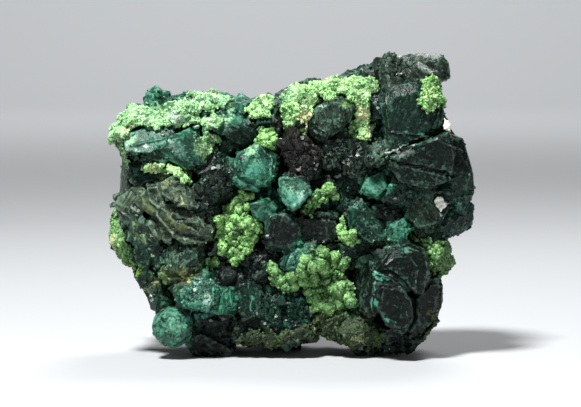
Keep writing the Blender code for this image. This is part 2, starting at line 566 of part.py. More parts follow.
def ball_mesh():
    rng = random.Random("ball")
    bm = bmesh.new()
    bmesh.ops.create_icosphere(bm, subdivisions=2, radius=BALL_RADIUS)
    for vertex in bm.verts:
        vertex.co *= 1 + rng.uniform(-BALL_UNEVEN, BALL_UNEVEN)
    bmesh.ops.translate(bm, vec=BALL_MIDDLE, verts=bm.verts)
    return bm


def random_turn(rng, most):
    return Euler([math.radians(rng.uniform(-most, most)) for _ in range(3)])


def inside_outline(x, z):
    """True where the viewer sees the specimen, by counting the edges to the right of a point."""
    crossings = 0
    for (x0, z0), (x1, z1) in zip(OUTLINE, OUTLINE[1:] + OUTLINE[:1]):
        if (z0 > z) != (z1 > z) and x < x0 + (z - z0) * (x1 - x0) / (z1 - z0):
            crossings += 1
    return crossings % 2 == 1


def draw_in(bm):
    """Moves a block towards the middle of the specimen until the outline holds all of it."""
    middle = middle_of(OUTLINE)
    block_middle = sum((v.co for v in bm.verts), Vector()) / len(bm.verts)
    inwards = Vector((middle.x - block_middle.x, 0.0, middle.y - block_middle.z))
    for _ in range(DRAW_STEPS):
        if all(inside_outline(v.co.x, v.co.z) for v in bm.verts):
            return
        bmesh.ops.translate(bm, vec=inwards.normalized() * DRAW_STEP, verts=bm.verts)


def random_size(rng, sizes):
    return [rng.uniform(*sizes) for _ in range(3)]


def rim_blocks():
    """Blocks round the broken sides."""
    rng = random.Random(ROUGH_SEED)
    places = [Vector(OUTLINE[0])]
    for corner in OUTLINE:
        if (Vector(corner) - places[-1]).length > RIM_SPACING:
            places.append(Vector(corner))
    made = []
    for i, (x, z) in enumerate(places):
        size = random_size(rng, RIM_BLOCK_SIZE)
        y = RIM_BLOCKS_Y[i % len(RIM_BLOCKS_Y)] + rng.uniform(-1, 1)
        bm = block_mesh(size, random_turn(rng, RIM_TURN), (x, y, z), rng)
        draw_in(bm)
        made.append(bm)
    return made


def scattered(spacing, rng):
    """Places over the specimen as the viewer sees it, in staggered rows."""
    row = 0
    z = spacing / 2
    while z < max(top for _, top in OUTLINE):
        x = min(left for left, _ in OUTLINE) + (row % 2) * spacing / 2
        while x < max(right for right, _ in OUTLINE):
            place_x = x + rng.uniform(-SCATTER, SCATTER) * spacing
            place_z = z + rng.uniform(-SCATTER, SCATTER) * spacing
            if inside_outline(place_x, place_z):
                yield place_x, place_z
            x += spacing
        z += spacing * ROW_STEP
        row += 1


def back_blocks(core):
    """Broken blocks over the back of the core, and the foot that it stands on at the back."""
    rng = random.Random(ROUGH_SEED + 1)
    made = []
    for x, z in scattered(BACK_SPACING, rng):
        size = random_size(rng, BACK_BLOCK_SIZE)
        turn = random_turn(rng, BACK_TURN)
        hit = core.ray_cast(Vector((x, DROP_FROM, z)), Vector((0.0, -1.0, 0.0)))[0]
        if hit:
            bm = block_mesh(size, turn, (x, hit.y - min(size) * BACK_SUNK, z), rng)
            draw_in(bm)
            made.append(bm)
    turn = Euler((0.0, 0.0, BACK_FOOT_TURN))
    foot_rng = random.Random("foot")
    made.append(block_mesh(BACK_FOOT_SIZE, turn, BACK_FOOT_MIDDLE, foot_rng, BACK_FOOT_CUTS))
    return made


def front_blocks(crystals):
    """Small blocks in the hollows between the crystals, which the rays reach from the front."""
    rng = random.Random(ROUGH_SEED + 2)
    made = []
    for x, z in scattered(FRONT_SPACING, rng):
        size = random_size(rng, FRONT_BLOCK_SIZE)
        turn = random_turn(rng, FRONT_TURN)
        tops = [crystal.ray_cast(Vector((x, -DROP_FROM, z)), Vector((0.0, 1.0, 0.0)))[0]
                for crystal in crystals]
        front = min((hit.y for hit in tops if hit), default=None)
        if front is not None and front > FRONT_DEEP:
            y = min(front, FRONT_BACKING) - rng.uniform(*FRONT_OUT)
            bm = block_mesh(size, turn, (x, y, z), rng)
            draw_in(bm)
            made.append(bm)
    return made


def mass_meshes():
    """Every shape that the mass is joined from."""
    core = core_mesh()
    crystals = [crystal_mesh(crystal, name) for name, crystal in CRYSTALS.items()]
    crystals.append(ball_mesh())
    trees = [BVHTree.FromBMesh(bm) for bm in [core, *crystals]]
    return [core, *crystals, *rim_blocks(), *back_blocks(trees[0]), *front_blocks(trees)]


def helper_collection(name):
    collection = bpy.data.collections.new(name)
    bpy.context.scene.collection.children.link(collection)
    return collection


def apply_modifiers(obj):
    graph = bpy.context.evaluated_depsgraph_get()
    mesh = bpy.data.meshes.new_from_object(obj.evaluated_get(graph))
    obj.modifiers.clear()
    obj.data = mesh


def apply_boolean(obj, operation, other=None, collection=None):
    modifier = obj.modifiers.new(operation.lower(), "BOOLEAN")
    modifier.operation = operation
    # The exact solver leaves open edges on so many blocks that touch at a slant
    modifier.solver = "MANIFOLD"
    if collection:
        modifier.operand_type = "COLLECTION"
        modifier.collection = collection
    else:
        modifier.object = other
    apply_modifiers(obj)


def joined(name, meshes, finish=None):
    """One solid of several overlapping ones."""
    first = add_object(name, meshes[0], finish)
    others = helper_collection(name + " pieces")
    for i, bm in enumerate(meshes[1:]):
        piece = add_object(f"{name} piece {i}", bm)
        bpy.context.scene.collection.objects.unlink(piece)
        others.objects.link(piece)
    if others.objects:
        apply_boolean(first, "UNION", collection=others)
    for piece in list(others.objects):
        bpy.data.objects.remove(piece)
    bpy.data.collections.remove(others)
    return first


def shells(bm):
    """The separate closed surfaces of a mesh, each as a set of faces."""
    left = set(bm.faces)
    found = []
    while left:
        start = left.pop()
        shell = {start}
        edge_of_shell = [start]
        while edge_of_shell:
            face = edge_of_shell.pop()
            near = {f for e in face.edges for f in e.link_faces} & left
            left -= near
            shell |= near
            edge_of_shell.extend(near)
        found.append(shell)
    return found


def keep_largest(obj):
    """Keeps the largest separate piece, drops crumbs that a cut left, and joins the flat pieces
    that the cuts split a face into."""
    bm = bmesh.new()
    bm.from_mesh(obj.data)
    found = sorted(shells(bm), key=lambda shell: sum(f.calc_area() for f in shell))
    for shell in found[:-1]:
        bmesh.ops.delete(bm, geom=list(shell), context="FACES")
    bmesh.ops.dissolve_limit(bm, angle_limit=FLAT_WITHIN, verts=bm.verts, edges=bm.edges)
    bmesh.ops.triangulate(bm, faces=bm.faces)
    bm.to_mesh(obj.data)
    bm.free()


def simplify(obj, ratio):
    """Merges the small faces that the cuts left, down to a part of the triangles."""
    modifier = obj.modifiers.new("fewer", "DECIMATE")
    modifier.ratio = ratio
    modifier.use_collapse_triangulate = True
    apply_modifiers(obj)


def floor_cutter():
    """A block below the surface the specimen stands on."""
    bm = bmesh.new()
    bmesh.ops.create_cube(bm, size=1.0)
    bmesh.ops.scale(bm, vec=FLOOR_BLOCK, verts=bm.verts)
    bmesh.ops.translate(bm, vec=(0.0, 0.0, -FLOOR_BLOCK[2] / 2), verts=bm.verts)
    return add_object("floor cutter", bm)


def make_mass(name, grown, finish=None):
    """The crystals and their core as one solid, cut flat where it stands."""
    meshes = mass_meshes()
    for bm in meshes:
        if grown:
            swell(bm, grown)
    mass = joined(name, meshes, finish)
    keep_largest(mass)
    simplify(mass, MASS_DETAIL)
    if not grown:
        cutter = floor_cutter()
        apply_boolean(mass, "DIFFERENCE", cutter)
        bpy.data.objects.remove(cutter)
        keep_largest(mass)
    return mass


def drop(surface, point, direction):
    """Where a line through a point first meets the crystals, or None where it passes them by."""
    hit, _, _, _ = surface.ray_cast((point - direction * DROP_FROM) * MM, direction)
    return hit / MM if hit else None


def spot_centres(crust, surface, axes):
    """Where the spots lie in the plane that the crust's view looks along, as (u, v, radius),
    with more of them where neighbours lie apart in that plane because one is deeper."""
    centres = []
    previous = None
    for x, z, radius in crust.spots:
        aim = Vector((x, CRUST_AIM_Y, z))
        centre = drop(surface, aim, Vector((0.0, 1.0, 0.0)))
        if centre is None:
            centre = surface.find_nearest(aim * MM)[0] / MM
        centre.y = min(centre.y, CRUST_DEEPEST_Y)
        place = Vector([centre.dot(axis) for axis in axes])
        if previous and math.hypot(x - previous[0], z - previous[1]) < NEIGHBOURS_WITHIN:
            steps = math.ceil((place - previous[2]).length / radius)
            for i in range(1, steps):
                between = previous[2].lerp(place, i / steps)
                centres.append((between.x, between.y, radius * BRIDGE_WIDTH))
        centres.append((place.x, place.y, radius))
        previous = (x, z, place)
    return centres


def spot_domes(name, crust, surface, axes):
    """The domes of a crust as (u, v, radius, height): one for each spot, with smaller ones."""
    rng = random.Random(name)
    domes = []
    for u, v, radius in spot_centres(crust, surface, axes):
        domes.append((u, v, radius * DOME_SPREAD, radius * DOME_HEIGHT))
        start = rng.uniform(0, math.tau)
        for i in range(SMALL_DOMES):
            angle = start + math.tau * i / SMALL_DOMES
            out = radius * rng.uniform(*SMALL_DOME_OUT)
            size = radius * rng.uniform(*SMALL_DOME_SIZE)
            domes.append((u + out * math.cos(angle), v + out * math.sin(angle), size,
                          size * SMALL_DOME_HEIGHT))
    return domes


def lift_at(u, v, domes):
    """How far the crust stands out from the crystals at a point."""
    lift = 0.0
    for dome_u, dome_v, radius, height in domes:
        out = math.hypot(u - dome_u, v - dome_v) / radius
        if out < 1:
            lift = max(lift, CRUST_LEAST, height * math.sqrt(1 - out * out))
    return lift


def sheet_points(domes):
    """A square grid of points over the domes, as (u, v) by column and row."""
    u_start = min(u - radius for u, _, radius, _ in domes) - CRUST_GRID
    v_start = min(v - radius for _, v, radius, _ in domes) - CRUST_GRID
    u_end = max(u + radius for u, _, radius, _ in domes) + CRUST_GRID
    v_end = max(v + radius for _, v, radius, _ in domes) + CRUST_GRID
    columns = math.ceil((u_end - u_start) / CRUST_GRID) + 1
    rows = math.ceil((v_end - v_start) / CRUST_GRID) + 1
    return {(i, j): (u_start + i * CRUST_GRID, v_start + j * CRUST_GRID)
            for i in range(columns) for j in range(rows)}


def draped(key, depths, grown):
    """How deep a sheet lies at a grid point that rests on the crystals under the domes and falls
    away from them no steeper than CRUST_SLOPE."""
    i, j = key
    fall = CRUST_SLOPE * CRUST_GRID
    rests = [depths[k, l] + fall * math.hypot(i - k, j - l) for k, l in grown]
    if key in depths:
        rests.append(depths[key])
    return min(rests)


def raised(key, bases, lifts):
    """How deep the front of the sheet lies: the nearest of a ball at each grid point round this
    one, so that the crust is as thick on steep places as on flat ones."""
    i, j = key
    depths = [bases[key] + CRUST_SUNK]
    for k in range(i - BALL_REACH, i + BALL_REACH + 1):
        for l in range(j - BALL_REACH, j + BALL_REACH + 1):
            lift = lifts.get((k, l), 0.0)
            out = CRUST_GRID * math.hypot(i - k, j - l)
            if out < lift:
                depths.append(bases[k, l] - math.sqrt(lift * lift - out * out))
    return min(depths)


def sheet_mesh(fronts, backs, kept):
    """A closed sheet from two grids of points, with the cells that a kept point is a corner of."""
    bm = bmesh.new()
    front = {key: bm.verts.new(point) for key, point in fronts.items()}
    back = {key: bm.verts.new(point) for key, point in backs.items()}
    edges = set()
    for i, j in fronts:
        ring = [(i, j), (i + 1, j), (i + 1, j + 1), (i, j + 1)]
        if all(key in fronts for key in ring) and any(key in kept for key in ring):
            bm.faces.new([front[key] for key in ring])
            bm.faces.new([back[key] for key in reversed(ring)])
            edges.update(zip(ring, ring[1:] + ring[:1]))
    for a, b in edges:
        if (b, a) not in edges:
            bm.faces.new((front[b], front[a], back[a], back[b]))
    bmesh.ops.delete(bm, geom=[v for v in bm.verts if not v.link_faces], context="VERTS")
    return bm


def crust_mesh(name, crust, surface):
    """A sheet over the crystals: its front is draped on them and raised by the domes, and its
    back is sunk in them."""
    view = Vector(crust.view).normalized()
    side = view.cross(Vector((0.0, 0.0, 1.0))).normalized()
    up = side.cross(view)
    domes = spot_domes(name, crust, surface, (side, up))
    points = sheet_points(domes)
    lifts = {key: lift_at(u, v, domes) for key, (u, v) in points.items()}
    hits = {key: drop(surface, side * u + up * v, view) for key, (u, v) in points.items()}
    depths = {key: hit.dot(view) for key, hit in hits.items() if hit}
    grown = [key for key in depths if lifts[key]]
    bases = {key: draped(key, depths, grown) for key in points}
    fronts = {}
    backs = {}
    for key, (u, v) in points.items():
        place = side * u + up * v
        back = min(depths.get(key, bases[key]) + CRUST_BACK, bases[key] + CRUST_THICKEST)
        fronts[key] = place + view * raised(key, bases, lifts)
        backs[key] = place + view * back
    kept = {key for key in points if raised(key, bases, lifts) < bases[key]}
    return sheet_mesh(fronts, backs, kept)


def make_crust(name, crust, surface, seat, finish):
    """One bayldonite crust, cut to the faces of the crystals under it with a hairline gap."""
    obj = add_object(name, crust_mesh(name, crust, surface), finish)
    apply_boolean(obj, "DIFFERENCE", seat)
    keep_largest(obj)
    simplify(obj, CRUST_DETAIL)


def make_grain(name, grain, seat, finish):
    obj = add_object(name, crystal_mesh(grain, name), finish)
    apply_boolean(obj, "DIFFERENCE", seat)
    keep_largest(obj)


def centre_on_origin():
    """Puts the middle of the whole specimen's box over the origin, and its lowest point on it."""
    objects = list(bpy.context.scene.objects)
    points = [v.co for obj in objects for v in obj.data.vertices]
    lows = [min(p[i] for p in points) for i in range(3)]
    highs = [max(p[i] for p in points) for i in range(3)]
    shift = Vector((-(lows[0] + highs[0]) / 2, -(lows[1] + highs[1]) / 2, -lows[2]))
    for obj in objects:
        obj.data.transform(Matrix.Translation(shift))


def main():
    clear_scene()
    green = material("green crystal", GREEN_CRYSTAL)
    bayldonite = material("bayldonite", BAYLDONITE)
    pale = material("pale mineral", PALE_MINERAL)
    mass = make_mass("crystal_mass", 0.0, green)
    seat = make_mass("seat", SEAT_GAP)
    graph = bpy.context.evaluated_depsgraph_get()
    surface = BVHTree.FromObject(mass, graph)
    for name, crust in CRUSTS.items():
        make_crust(name, crust, surface, seat, bayldonite)
    for name, grain in GRAINS.items():
        make_grain(name, grain, seat, pale)
    bpy.data.objects.remove(seat)
    centre_on_origin()


if __name__ == "__main__":
    main()
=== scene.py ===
# %% [markdown]
# # A bayldonite specimen
# The real object is a piece of rock the size of a palm. Dark green, nearly black crystals have
# grown into each other, some of them smooth and some covered in tiny glittering crystals. On
# them sits bayldonite, an apple green mineral that grows as crusts and as clusters of little
# balls. The CAD model holds the big shapes. This lesson dresses them: it gives each solid a
# finer skin, sets small crystals and balls on it, and paints it with procedural materials.

# %% Load the CAD frame
import math

import bmesh
import bpy
import numpy as np
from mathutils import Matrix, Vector, noise
from mathutils.bvhtree import BVHTree


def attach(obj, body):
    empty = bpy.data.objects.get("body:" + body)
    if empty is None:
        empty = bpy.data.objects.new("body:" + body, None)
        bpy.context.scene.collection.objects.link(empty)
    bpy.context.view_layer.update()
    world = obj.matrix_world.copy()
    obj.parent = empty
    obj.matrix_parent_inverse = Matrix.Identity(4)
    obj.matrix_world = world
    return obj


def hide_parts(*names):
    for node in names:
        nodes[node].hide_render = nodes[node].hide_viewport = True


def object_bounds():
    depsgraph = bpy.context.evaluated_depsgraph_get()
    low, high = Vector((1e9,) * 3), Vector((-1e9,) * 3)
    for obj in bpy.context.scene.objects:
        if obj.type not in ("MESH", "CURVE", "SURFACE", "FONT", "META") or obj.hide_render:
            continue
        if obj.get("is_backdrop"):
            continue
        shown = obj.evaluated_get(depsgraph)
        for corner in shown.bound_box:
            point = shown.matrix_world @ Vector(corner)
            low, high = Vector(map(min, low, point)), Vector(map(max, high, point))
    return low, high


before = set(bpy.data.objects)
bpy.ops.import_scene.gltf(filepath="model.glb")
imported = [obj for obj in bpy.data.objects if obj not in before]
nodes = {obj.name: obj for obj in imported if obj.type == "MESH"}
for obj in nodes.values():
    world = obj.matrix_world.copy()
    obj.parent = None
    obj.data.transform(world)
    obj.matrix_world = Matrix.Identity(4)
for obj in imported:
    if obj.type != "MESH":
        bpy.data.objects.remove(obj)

cad_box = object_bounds()
MM = 0.001
NOISE_SEED = 7

# Without a seed, Blender's noise vectors start from the clock and differ in each run.
noise.seed_set(NOISE_SEED)
print(len(nodes), "solids in the frame, from", tuple(cad_box[0]), "to", tuple(cad_box[1]))


# %% [markdown]
# ## Working like a modeller
# Blender's operators act on whatever is selected, so each step starts with nothing selected
# and then picks its own object. Modifiers are applied straight away, which leaves plain meshes.

# %% Pick an object, and apply what it carries
def pick(obj):
    """Leaves this object as the only one selected."""
    if bpy.context.mode != "OBJECT":
        bpy.ops.object.mode_set(mode="OBJECT")
    bpy.ops.object.select_all(action="DESELECT")
    obj.select_set(True)
    bpy.context.view_layer.objects.active = obj


def modify(obj, kind, **settings):
    """Adds a modifier with these settings and applies it."""
    pick(obj)
    modifier = obj.modifiers.new(kind.lower(), kind)
    for name, value in settings.items():
        setattr(modifier, name, value)
    bpy.ops.object.modifier_apply(modifier=modifier.name)


def merged_copy(name, node):
    """A copy of a CAD solid's mesh with its loose triangles joined at their corners."""
    piece = bpy.data.objects.new(name, nodes[node].data.copy())
    bpy.context.scene.collection.objects.link(piece)
    pick(piece)
    bpy.ops.object.mode_set(mode="EDIT")
    bpy.ops.mesh.select_all(action="SELECT")
    bpy.ops.mesh.remove_doubles(threshold=1e-6)
    bpy.ops.object.mode_set(mode="OBJECT")
    piece.data.materials.clear()
    return piece


# %% [markdown]
# ## Which crystal is which
# Every crystal on the real piece has its own tone. The list below names each tone in plain
# words, and gives the crystals that have it: where their middle is, seen from the front, and
# how far they reach, in millimetres. A point of the skin takes the tone of the crystal whose
# edge is nearest, so the tones change where the crystals meet.

# %% Tones of the crystals
TONES = {
    "ink": (0.0016, 0.0046, 0.0034),
    "deep green": (0.004, 0.017, 0.010),
    "deep teal": (0.0035, 0.018, 0.0115),
    "teal": (0.018, 0.080, 0.050),
    "pale teal": (0.026, 0.090, 0.060),
    "charcoal": (0.006, 0.011, 0.008),
    "grey green": (0.030, 0.055, 0.038),
    "purple brown": (0.010, 0.0082, 0.0078),
    "stone": (0.018, 0.026, 0.019),
    "brown grey": (0.050, 0.069, 0.045),
    "olive": (0.060, 0.085, 0.028),
}
RIDGED = {
    "ink": 0.2, "deep green": 0.45, "deep teal": 0.3, "teal": 0.4, "pale teal": 0.2,
    "charcoal": 0.5, "grey green": 0.4, "purple brown": 0.3, "stone": 0.3, "brown grey": 0.4,
    "olive": 0.5,
}
CRYSTALS = {
    "ink": [
        (27, 39.5, 6.0, 0.05), (34, 41, 3.0, 0.0), (-14.5, 6, 4.2, 0.3), (-11.2, 16, 3.4, 0.4),
        (-16, 1.5, 3.0, 0.2), (-1, 25.5, 3.8, 0.2), (-4.6, 18.5, 3.2, 0.4), (23, 18.5, 5.2, 0.0),
        (20.8, 11.8, 4.8, 0.0), (16.2, 14, 2.6, 0.1), (27.5, 10.8, 4.4, 0.1), (23, 3.8, 3.6, 0.3),
        (16, 1.5, 2.6, 0.2), (20.3, 28.7, 3.0, 0.4), (-8, 6, 3.0, 0.5)],
    "deep green": [
        (-10, 43.5, 3.4, 0.2), (-25.7, 12.3, 2.4, 0.3), (-7.5, 12, 3.2, 0.2), (14.5, 56.8, 3.4, 0.1),
        (1, 4.6, 3.0, 0.6), (14.2, 21.4, 3.2, 0.4), (-26, 21, 2.4, 0.2), (9.5, 31, 2.6, 0.7)],
    "deep teal": [
        (25, 48, 6.4, 0.10), (34, 33.5, 3.0, 0.1), (33, 27.5, 3.8, 0.3), (-28, 37, 3.2, 0.3),
        (-28.8, 21, 2.6, 0.2), (24.8, 32.7, 3.4, 0.6), (15, 27.5, 3.6, 0.3), (-3, 9.7, 2.8, 1.0),
        (1.7, 9.2, 2.8, 1.0), (-1.8, 13.3, 2.4, 0.9), (-19.5, 36.5, 2.6, 0.4)],
    "teal": [
        (-7, 38.5, 4.6, 0.05), (-12.2, 48, 3.2, 0.1), (-26.5, 50.5, 3.0, 0.2), (-22, 42, 4.6, 0.1),
        (17, 35, 2.4, 0.1), (-12.5, 12.5, 2.8, 0.7), (2.4, 20.6, 3.0, 0.2), (22.2, 26, 2.4, 0.2),
        (-5, 30, 2.6, 0.1)],
    "pale teal": [
        (-26, 45, 4.8, 0.1), (1.2, 33.6, 3.2, 0.0), (-18, 13.5, 3.8, 0.7), (-23, 6.4, 4.4, 0.0)],
    "charcoal": [
        (9.5, 41.5, 3.4, 1.0), (14.4, 40, 3.2, 0.9), (-14, 36.5, 3.2, 0.8),
        (-16.6, 31, 3.0, 0.7), (6, 26.3, 3.4, 0.3), (5, 36.5, 2.4, 0.8)],
    "grey green": [
        (18.4, 41, 2.6, 0.6), (8.4, 48, 3.8, 0.3),
        (-26.5, 40.2, 2.6, 0.4), (-30, 26.5, 3.2, 0.1), (-21, 20.5, 3.6, 0.4), (27.2, 29.4, 3.2, 0.2)],
    "purple brown": [(2.5, 40.5, 4.2, 1.0)],
    "brown grey": [
        (-27, 32, 3.0, 0.1), (-31.2, 31.5, 3.2, 0.1), (-19, 25.5, 3.2, 0.2), (-25.6, 26.6, 3.0, 0.1),
        (-21.6, 29, 3.8, 0.1), (-21.7, 33.2, 3.2, 0.1)],
    "stone": [(28, 58.5, 4.2, 0.1), (20.8, 57, 3.4, 0.25), (25.5, 56.5, 2.2, 0.2)],
    "olive": [(-21, 16.8, 3.0, 0.4), (10.8, 6, 4.0, 0.5)],
}
VIEW_X = -0.73
crystal_places = []
crystal_tones = []
for tone, members in CRYSTALS.items():
    for x, z, reach, glitter in members:
        crystal_places.append((x + VIEW_X, z, reach, glitter, RIDGED[tone]))
        crystal_tones.append(TONES[tone])
crystal_places = np.array(crystal_places)
crystal_tones = np.array(crystal_tones)
print(len(crystal_places), "crystals have a tone of their own")


# %% [markdown]
# Powdery growths lie over some crystals: pale green dust on the upper left, olive and cream
# streaks on the left plates. White specks low on the left are a painted sparkle. All of them are
# stains on the skin, each a colour, a middle, a reach and a strength.

# %% Stains over the crystals
STAIN_COLOURS = {
    "mint": (0.26, 0.52, 0.28),
    "lime": (0.16, 0.34, 0.07),
    "olive": (0.10, 0.13, 0.035),
    "cream": (0.62, 0.64, 0.34),
    "white": (0.50, 0.62, 0.54),
    "straw": (0.33, 0.35, 0.15),
    "cyan": (0.06, 0.24, 0.17),
    "deep": (0.03, 0.14, 0.05),
}
STAINS = [
    ("mint", -27, 48, 4.6, 0.65), ("mint", -20, 48.6, 4.0, 0.65), ("cyan", -17, 43, 3.6, 0.4),
    ("mint", -16.6, 44.6, 2.6, 0.6), ("mint", -31.6, 43.6, 2.6, 0.6), ("mint", -13, 47.4, 2.2, 0.5),
    ("mint", -30, 41, 3.0, 0.35), ("white", -24, 42.5, 4.0, 0.3), ("cyan", -22, 42, 4.5, 0.4),
    ("straw", -24.5, 35.8, 2.6, 0.45), ("olive", -28, 31, 4.0, 0.4), ("straw", -20, 34.5, 1.8, 0.4),
    ("olive", -22, 27, 4.0, 0.45), ("olive", -30, 25, 4.0, 0.4), ("straw", -21, 16.8, 2.6, 0.5),
    # The white stains low on the left are a painted sparkle.
    ("white", -18, 14, 3.0, 0.35), ("cyan", -16, 11, 5.0, 0.5), ("mint", -23, 7.5, 3.0, 0.25),
    ("white", -15.5, 12, 1.6, 0.5),
    ("cyan", -23, 5, 4.0, 0.4), ("mint", -12, 49, 3.4, 0.5), ("mint", -7, 41.6, 2.6, 0.5),
    ("cyan", -7, 38, 4.0, 0.5), ("mint", 1, 34.5, 2.2, 0.3), ("cyan", 1.4, 32.5, 3.0, 0.5),
    ("cyan", 17, 34.6, 2.4, 0.5), ("cyan", 25, 44.5, 4.0, 0.25), ("cyan", 27, 33, 3.0, 0.3),
    ("cyan", 34, 31, 2.6, 0.35), ("cyan", 22, 26.4, 2.6, 0.5), ("mint", 19.4, 23.6, 2.4, 0.5),
    ("cyan", 22, 22, 3.0, 0.35), ("cyan", 19.4, 8.6, 1.2, 0.7), ("lime", 12, 7, 5.0, 0.6),
    ("olive", 18, 3.4, 3.4, 0.6), ("olive", -4, 3.6, 4.2, 0.5), ("olive", -9, 4, 3.0, 0.5),
    ("olive", 29, 9, 2.6, 0.5), ("olive", 27.6, 5, 3.0, 0.5), ("olive", 27, 24, 2.6, 0.5),
    ("lime", 6, 12.4, 3.0, 0.5), ("lime", -9, 26, 4.6, 0.5), ("cyan", 3, 20, 3.4, 0.4),
    ("lime", -30, 17, 3.6, 0.5), ("straw", -28, 13, 2.0, 0.5), ("cyan", -3, 29.6, 2.4, 0.4),
    ("white", 18.6, 41.4, 1.4, 0.25), ("mint", 5.2, 13, 2.4, 0.5), ("lime", 12, 51, 2.0, 0.4),
]
VEINS = [
    ("white", 19.5, 41.2, 27.0, 44.6, 0.35, 0.8), ("white", 27.0, 44.6, 31.0, 44.0, 0.30, 0.5),
    ("cyan", 17.2, 17.2, 19.2, 16.9, 0.40, 0.9), ("cyan", 17.2, 17.0, 16.9, 11.0, 0.32, 0.8),
    ("white", 17.4, 17.2, 18.0, 15.8, 0.22, 0.6), ("cyan", 20.8, 11.6, 21.6, 11.0, 0.40, 0.6),
    ("cyan", 20.9, 8.0, 21.5, 7.6, 0.32, 0.5),
    ("white", 30.6, 31.6, 32.4, 30.2, 0.35, 0.9), ("white", 30.2, 29.6, 31.6, 27.4, 0.30, 0.8),
    ("white", 32.6, 33.6, 34.2, 31.0, 0.22, 0.5), ("mint", -11.4, 41.8, -5.2, 42.6, 0.40, 0.8),
    ("white", -11.6, 41.4, -10.6, 36.2, 0.25, 0.5), ("mint", -5.0, 42.4, -2.4, 38.0, 0.28, 0.6),
    ("mint", -0.6, 36.4, 3.6, 36.0, 0.35, 0.7), ("white", -20.0, 46.4, -11.4, 49.4, 0.35, 0.5),
    ("white", -29.6, 42.8, -18.0, 37.4, 0.30, 0.5), ("straw", -24.4, 35.6, -20.0, 30.6, 0.45, 0.6),
    ("straw", -29.6, 33.0, -22.0, 29.4, 0.40, 0.5), ("white", -23.4, 26.6, -18.6, 22.8, 0.30, 0.5),
    ("mint", -31.4, 28.0, -27.0, 20.6, 0.30, 0.5), ("cyan", -7.8, 15.6, -7.0, 9.0, 0.30, 0.7),
    ("white", 1.2, 30.6, 3.4, 34.6, 0.25, 0.5), ("cyan", 13.4, 30.6, 18.0, 26.0, 0.35, 0.5),
    ("white", 6.6, 50.6, 11.0, 51.0, 0.30, 0.5), ("white", 4.8, 47.6, 6.4, 44.8, 0.30, 0.5),
]


# %% [markdown]
# Some crystals are framed: their edges stand up as thin rims, and deep grooves part them from
# their neighbours. Each line of the list runs through a few points seen from the front, with
# how wide it is and how high it stands. A groove has a height below zero.

